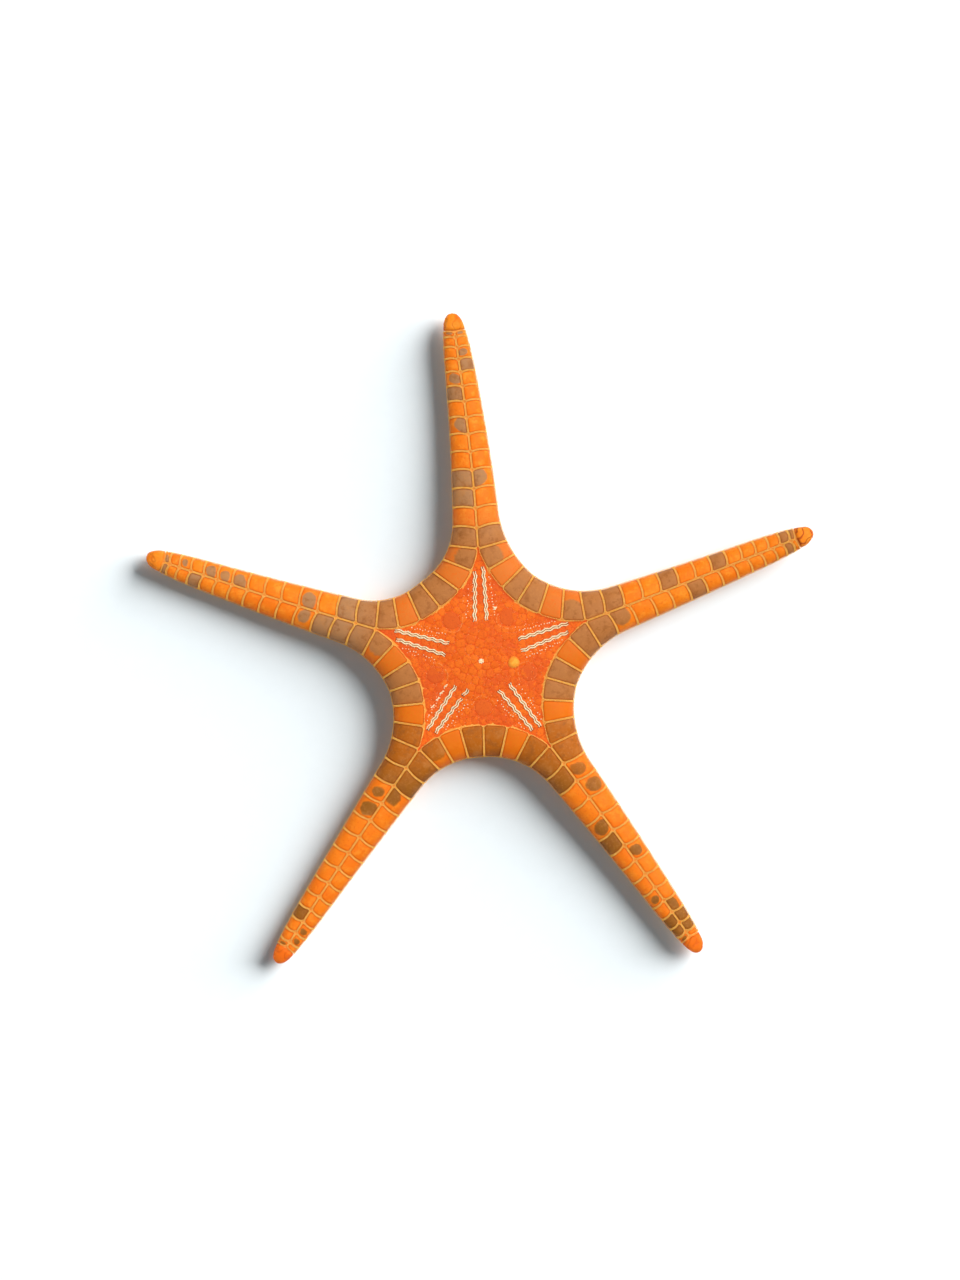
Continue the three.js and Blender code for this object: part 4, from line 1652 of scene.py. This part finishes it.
def finish_edge_plates():
    paint = Finish("edge_plate_finish", specular=0.14)
    spot_x, spot_y, depth = paint.vector("cell")
    mark_x, mark_y, radius = paint.vector("mark")
    off_x = paint.sums("SUBTRACT", spot_x, mark_x)
    off_y = paint.sums("MULTIPLY", paint.sums("SUBTRACT", spot_y, mark_y), MARK_FLATNESS)
    squares = [paint.sums("MULTIPLY", off, off) for off in (off_x, off_y)]
    away = paint.sums("SQRT", paint.sums("ADD", *squares))
    fray = paint.sums("MULTIPLY", paint.sums("SUBTRACT", paint.noise(900), 0.5), MARK_FRAY)
    in_mark = paint.sums("ADD", paint.sums("SUBTRACT", radius, away), fray)

    mottle, freckles = paint.noise(650, 4.0, 0.65), paint.noise(1900, 3.0, 0.7)
    out = paint.add("VectorMath", {0: paint.where}, operation="LENGTH")["Value"]
    by_disc = paint.tint(PINKISH, (RED_ORANGE, paint.y, *SOUTH))
    orange = paint.mix(paint.sums("MULTIPLY", paint.number("tone"), 0.7), ORANGE, DEEP_ORANGE)
    orange = paint.tint(
        orange,
        (LIGHT_ORANGE, mottle, 0.46, 0.7),
        (DEEP_ORANGE, paint.y, *SOUTH, 0.3),
        (by_disc, out, *NEAR_DISC, 0.85),
        (GRAIN_RED, freckles, 0.5, 0.32, 0.7),
    )
    patches = paint.noise(260)
    west_arms = paint.sums("MULTIPLY", paint.ramp(paint.x, *WEST), paint.ramp(out, *OFF_DISC))
    brown = paint.tint(
        paint.mix(west_arms, GREY_BROWN, ARM_BROWN),
        (WARM_BROWN, paint.y, *WARM_ZONE),
        # Partly painted shade: the brown turns olive at the bottom, and its darkness there is painted shade.
        (SHADED_OLIVE_BROWN, paint.y, *OLIVE_ZONE, 0.75),
        (DARK_BROWN, mottle, 0.5, 0.34, 0.5),
        (LIGHT_BROWN, freckles, 0.5, 0.68, 0.35),
        (DARK_BROWN, patches, 0.46, 0.3, 0.4),
        (LIGHT_BROWN, patches, 0.54, 0.74, 0.4),
    )
    colour = paint.tint(
        orange,
        (brown, in_mark, -MARK_SOFTNESS, MARK_SOFTNESS),
        (RIM_RED, depth, -0.06, -0.3, 0.4),
        (CREAM_ORANGE, paint.z, *LOW_DOWN, 0.75),
    )
    bumps = [(mottle, 0.5, 0.00018), (freckles, 0.45, 0.00009), (paint.pits(4200), 0.25, 0.00005)]
    return paint.complete(colour, (mottle, 0.42, 0.66), bumps)


edge_plate_finish = finish_edge_plates()

# %% [markdown]
# Beads and granules are too small for a pattern of their own, so each takes its colour from its
# tone, from a dull colour to a bright one, and a noise of larger scale drifts over them with a
# third.


# %% Finishes of beads, granules and spines
def finish_grains(name, dull, bright, drift, most=0.5):
    """A finish for small grains: from dull to bright by tone, with a drift of another colour."""
    paint = Finish(name)
    fine = paint.noise(5200, 3.0, 0.6)
    colour = paint.mix(paint.number("tone"), dull, bright)
    colour = paint.tint(colour, (drift, paint.noise(180), 0.48, 0.72, most))
    return paint.complete(colour, (fine, 0.45, 0.7), [(fine, 0.3, 0.00005)])


GRAINS = {
    "seam_bead_finish": ((1.0, 0.5, 0.08), (1.0, 0.66, 0.16), (1.0, 0.44, 0.05), 0.3),
    "under_bead_finish": ((0.9, 0.46, 0.16), (0.95, 0.62, 0.3), (0.85, 0.36, 0.09)),
    "granule_finish": ((0.86, 0.13, 0.006), (0.95, 0.4, 0.135), (0.83, 0.12, 0.008), 0.3),
    "cream_finish": ((1.0, 0.76, 0.46), (1.0, 0.88, 0.6), (0.95, 0.58, 0.28), 0.3),
    "spine_finish": ((0.85, 0.5, 0.22), (0.93, 0.72, 0.46), (0.8, 0.4, 0.14)),
    # The band finish below is painted shade for the grooves between the white strings.
    "groove_shade_finish": ((0.2, 0.045, 0.01), (0.28, 0.06, 0.012), (0.35, 0.08, 0.015)),
}
grain_finishes = {name: finish_grains(name, *colours) for name, colours in GRAINS.items()}

# %% [markdown]
# The tip plates are plain orange, redder towards the animal's lower end, with creases whose
# dark red is painted shade, strongest on the right arm, where the tip folded as it dried. The skin
# is the colour of the beads in the seams, red under the disc's plates and pale below.

# %% Finishes of the tips and the skin
TIP_RED = (0.95, 0.15, 0.006)
# The crease colour below is painted shade for the tips' creases.
CREASE_SHADE_RED = (0.5, 0.06, 0.008)
TIP_SOUTH, FOLDED_TIP = (0.0, -0.05), (0.05, 0.06)
SKIN_ORANGE, SKIN_YELLOW = (0.95, 0.33, 0.04), (1.0, 0.48, 0.1)
SKIN_BELOW, SKIN_PALE = (0.78, 0.34, 0.11), (0.86, 0.5, 0.22)
SKIN_RED = (0.82, 0.11, 0.006)


def finish_tips():
    paint = Finish("tip_finish", specular=0.14)
    mottle = paint.noise(700, 4.0, 0.65)
    middle = paint.sums("ABSOLUTE", paint.sums("SUBTRACT", paint.noise(330, 1.0), 0.5))
    creases = paint.ramp(middle, 0.05, 0.0)
    folded = paint.sums("ADD", paint.ramp(paint.x, *FOLDED_TIP), 0.35)
    colour = paint.tint(
        ORANGE,
        (LIGHT_ORANGE, mottle, 0.35, 0.7),
        (DEEP_ORANGE, paint.noise(240, 2.0), 0.45, 0.65),
        (TIP_RED, paint.y, *TIP_SOUTH, 0.7),
    )
    # Painted shade: the creases are darkened to a deep red, most of all on the right arm's folded tip.
    share = paint.sums("MULTIPLY", creases, paint.sums("MULTIPLY", folded, 0.7))
    colour = paint.mix(share, colour, CREASE_SHADE_RED)
    colour = paint.tint(colour, (CREAM_ORANGE, paint.z, 0.0022, 0.0004, 0.7))
    hollows = paint.sums("SUBTRACT", 1.0, creases)
    bumps = [(hollows, 0.4, 0.0003), (mottle, 0.5, 0.00018), (paint.pits(3600), 0.3, 0.00006)]
    return paint.complete(colour, (mottle, 0.42, 0.66), bumps)


def finish_skin():
    paint = Finish("skin_finish", specular=0.25)
    wrinkles = paint.noise(1400, 4.0, 0.65)
    below = paint.tint(SKIN_BELOW, (SKIN_PALE, paint.noise(160), 0.4, 0.65))
    colour = paint.tint(
        SKIN_ORANGE,
        (SKIN_YELLOW, wrinkles, 0.35, 0.7),
        (below, paint.z, 0.0024, 0.0006),
        (SKIN_RED, paint.number("field"), 0.3, 0.7),
    )
    bumps = [(wrinkles, 0.6, 0.0002), (paint.pits(2600), 0.4, 0.0001)]
    return paint.complete(colour, (wrinkles, 0.55, 0.8), bumps)


tip_finish = finish_tips()
skin_finish = finish_skin()

# %% [markdown]
# The disc is redder than the rim. Its plates are finely grained, a shade apart from each other, and
# dark in the joints. The large ones are deeper in colour, and the sieve plate is yellow and turns
# orange towards its rim.

# %% Finishes of the disc and the underside
SIEVE_YELLOW, SIEVE_PALE, SIEVE_RIM = (1.0, 0.38, 0.03), (1.0, 0.5, 0.07), (0.9, 0.24, 0.02)
SIEVE_RIM_ZONE = (0.0007, 0.0014)


def finish_cobbles(name, dark, light, joint, warm, large):
    """A finish for buttons: a tone for each, blotches over all, and dark joints."""
    paint = Finish(name, specular=0.16)
    depth = paint.vector("cell")[2]
    mottle, freckles = paint.noise(900, 4.0, 0.65), paint.noise(2600, 3.0, 0.7)
    colour = paint.tint(
        paint.mix(paint.number("tone"), dark, light),
        (warm, paint.noise(130), 0.46, 0.62, 0.8),
        (light, mottle, 0.5, 0.7),
        (joint, freckles, 0.5, 0.32, 0.6),
        (large, paint.number("size"), 0.6, 0.9, 0.6),
        (joint, depth, -0.12, -0.35, 0.08),
    )
    bumps = [(mottle, 0.45, 0.00014), (freckles, 0.4, 0.00008), (paint.pits(3400), 0.4, 0.00007)]
    return paint.complete(colour, (mottle, 0.5, 0.75), bumps)


def finish_sieve():
    paint = Finish("sieve_finish")
    mottle = paint.noise(1500, 4.0, 0.65)
    middle = (*((MADREPORITE_PLAN - CENTRE[:2]) * MM), DISC_HEIGHT * MM)
    away = paint.add("VectorMath", {0: paint.where, 1: middle}, operation="DISTANCE")["Value"]
    colour = paint.tint(
        SIEVE_YELLOW,
        (SIEVE_PALE, mottle, 0.35, 0.7),
        (SIEVE_RIM, away, *SIEVE_RIM_ZONE),
    )
    return paint.complete(colour, (mottle, 0.45, 0.7), [(mottle, 0.4, 0.0001)])


disc_finish = finish_cobbles("disc_finish", (0.82, 0.12, 0.004), (0.93, 0.175, 0.01),
                             (0.5, 0.055, 0.005), (0.78, 0.1, 0.012), (0.66, 0.085, 0.014))
under_finish = finish_cobbles("under_finish", (0.82, 0.4, 0.14), (0.92, 0.56, 0.26),
                              (0.55, 0.2, 0.05), (0.86, 0.44, 0.15), (0.82, 0.4, 0.14))
sieve_finish = finish_sieve()

# %% [markdown]
# Every piece gets its finish and rides on the one body, and the solid itself is hidden.

# %% Give out finishes
FINISHES = (
    (edge_plate_finish, (upper_plates, lower_plates)),
    (tip_finish, (tip_plates,)),
    (skin_finish, (skin,)),
    (grain_finishes["seam_bead_finish"], upper_beads),
    (grain_finishes["under_bead_finish"], (*lower_beads, furrow_stubs, under_granules)),
    (disc_finish, (disc_plates,)),
    (grain_finishes["granule_finish"], (disc_granules,)),
    (grain_finishes["cream_finish"], (white_strings, pale_dots)),
    (grain_finishes["groove_shade_finish"], (groove_shade_bands,)),
    (sieve_finish, (sieve_plate,)),
    (under_finish, (under_plates, furrow_blocks, jaws)),
    (grain_finishes["spine_finish"], (furrow_spines, mouth_spines)),
)
pieces = []
for finish, wearers in FINISHES:
    for piece in wearers:
        piece.data.materials.clear()
        piece.data.materials.append(finish)
        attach(piece, "root")
        pieces.append(piece)
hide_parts("starfish")
triangles = sum(len(p.data.loops) - 2 * len(p.data.polygons) for p in pieces)
print(len(pieces), "pieces,", triangles, "triangles")

# %% [markdown]
# ## The floor
# A plain white floor carries the shadow. Its white is a little blue, because the orange animal
# warms the light beside it. From below the floor is clear, so that the underside can be seen, and
# it keeps no light from the lamp under it.

# %% Floor
FLOOR_SIZE = 3.0
FLOOR_DROP = 0.1 * MM
FLOOR_WHITES = ((0.86, 0.905, 0.92), (0.89, 0.935, 0.95))

floor = new_shape(bpy.ops.mesh.primitive_plane_add, size=FLOOR_SIZE, location=(0, 0, -FLOOR_DROP))
floor.name = "floor"
floor.visible_shadow = False
paint = Finish("floor_finish", specular=0.1)
grain = paint.noise(300, 4.0)
paper = paint.mix(grain, *FLOOR_WHITES)
floor_finish = paint.complete(paper, (grain, 0.8, 0.95), [(grain, 0.03, 0.0001)])
clear, back = paint.add("BsdfTransparent")["BSDF"], paint.add("NewGeometry")["Backfacing"]
both = paint.add("MixShader", {0: back, 1: paint.shader.outputs["BSDF"], 2: clear})["Shader"]
paint.links.new(both, paint.nodes["Material Output"].inputs["Surface"])
floor.data.materials.append(floor_finish)

# %% [markdown]
# Light linking gives each lamp a list of what it lights. The animal still blocks the low lamp, so
# its shadow falls on the floor as before.

# %% Share out the lamps
for name, lamps, lit in (("animal", animal_lamps, pieces), ("ground", floor_lamps, [floor])):
    group = bpy.data.collections.new(name)
    for thing in lit:
        group.objects.link(thing)
    for lamp in lamps:
        lamp.light_linking.receiver_collection = group
    print(name, "has", len(lamps), "lamps of its own")
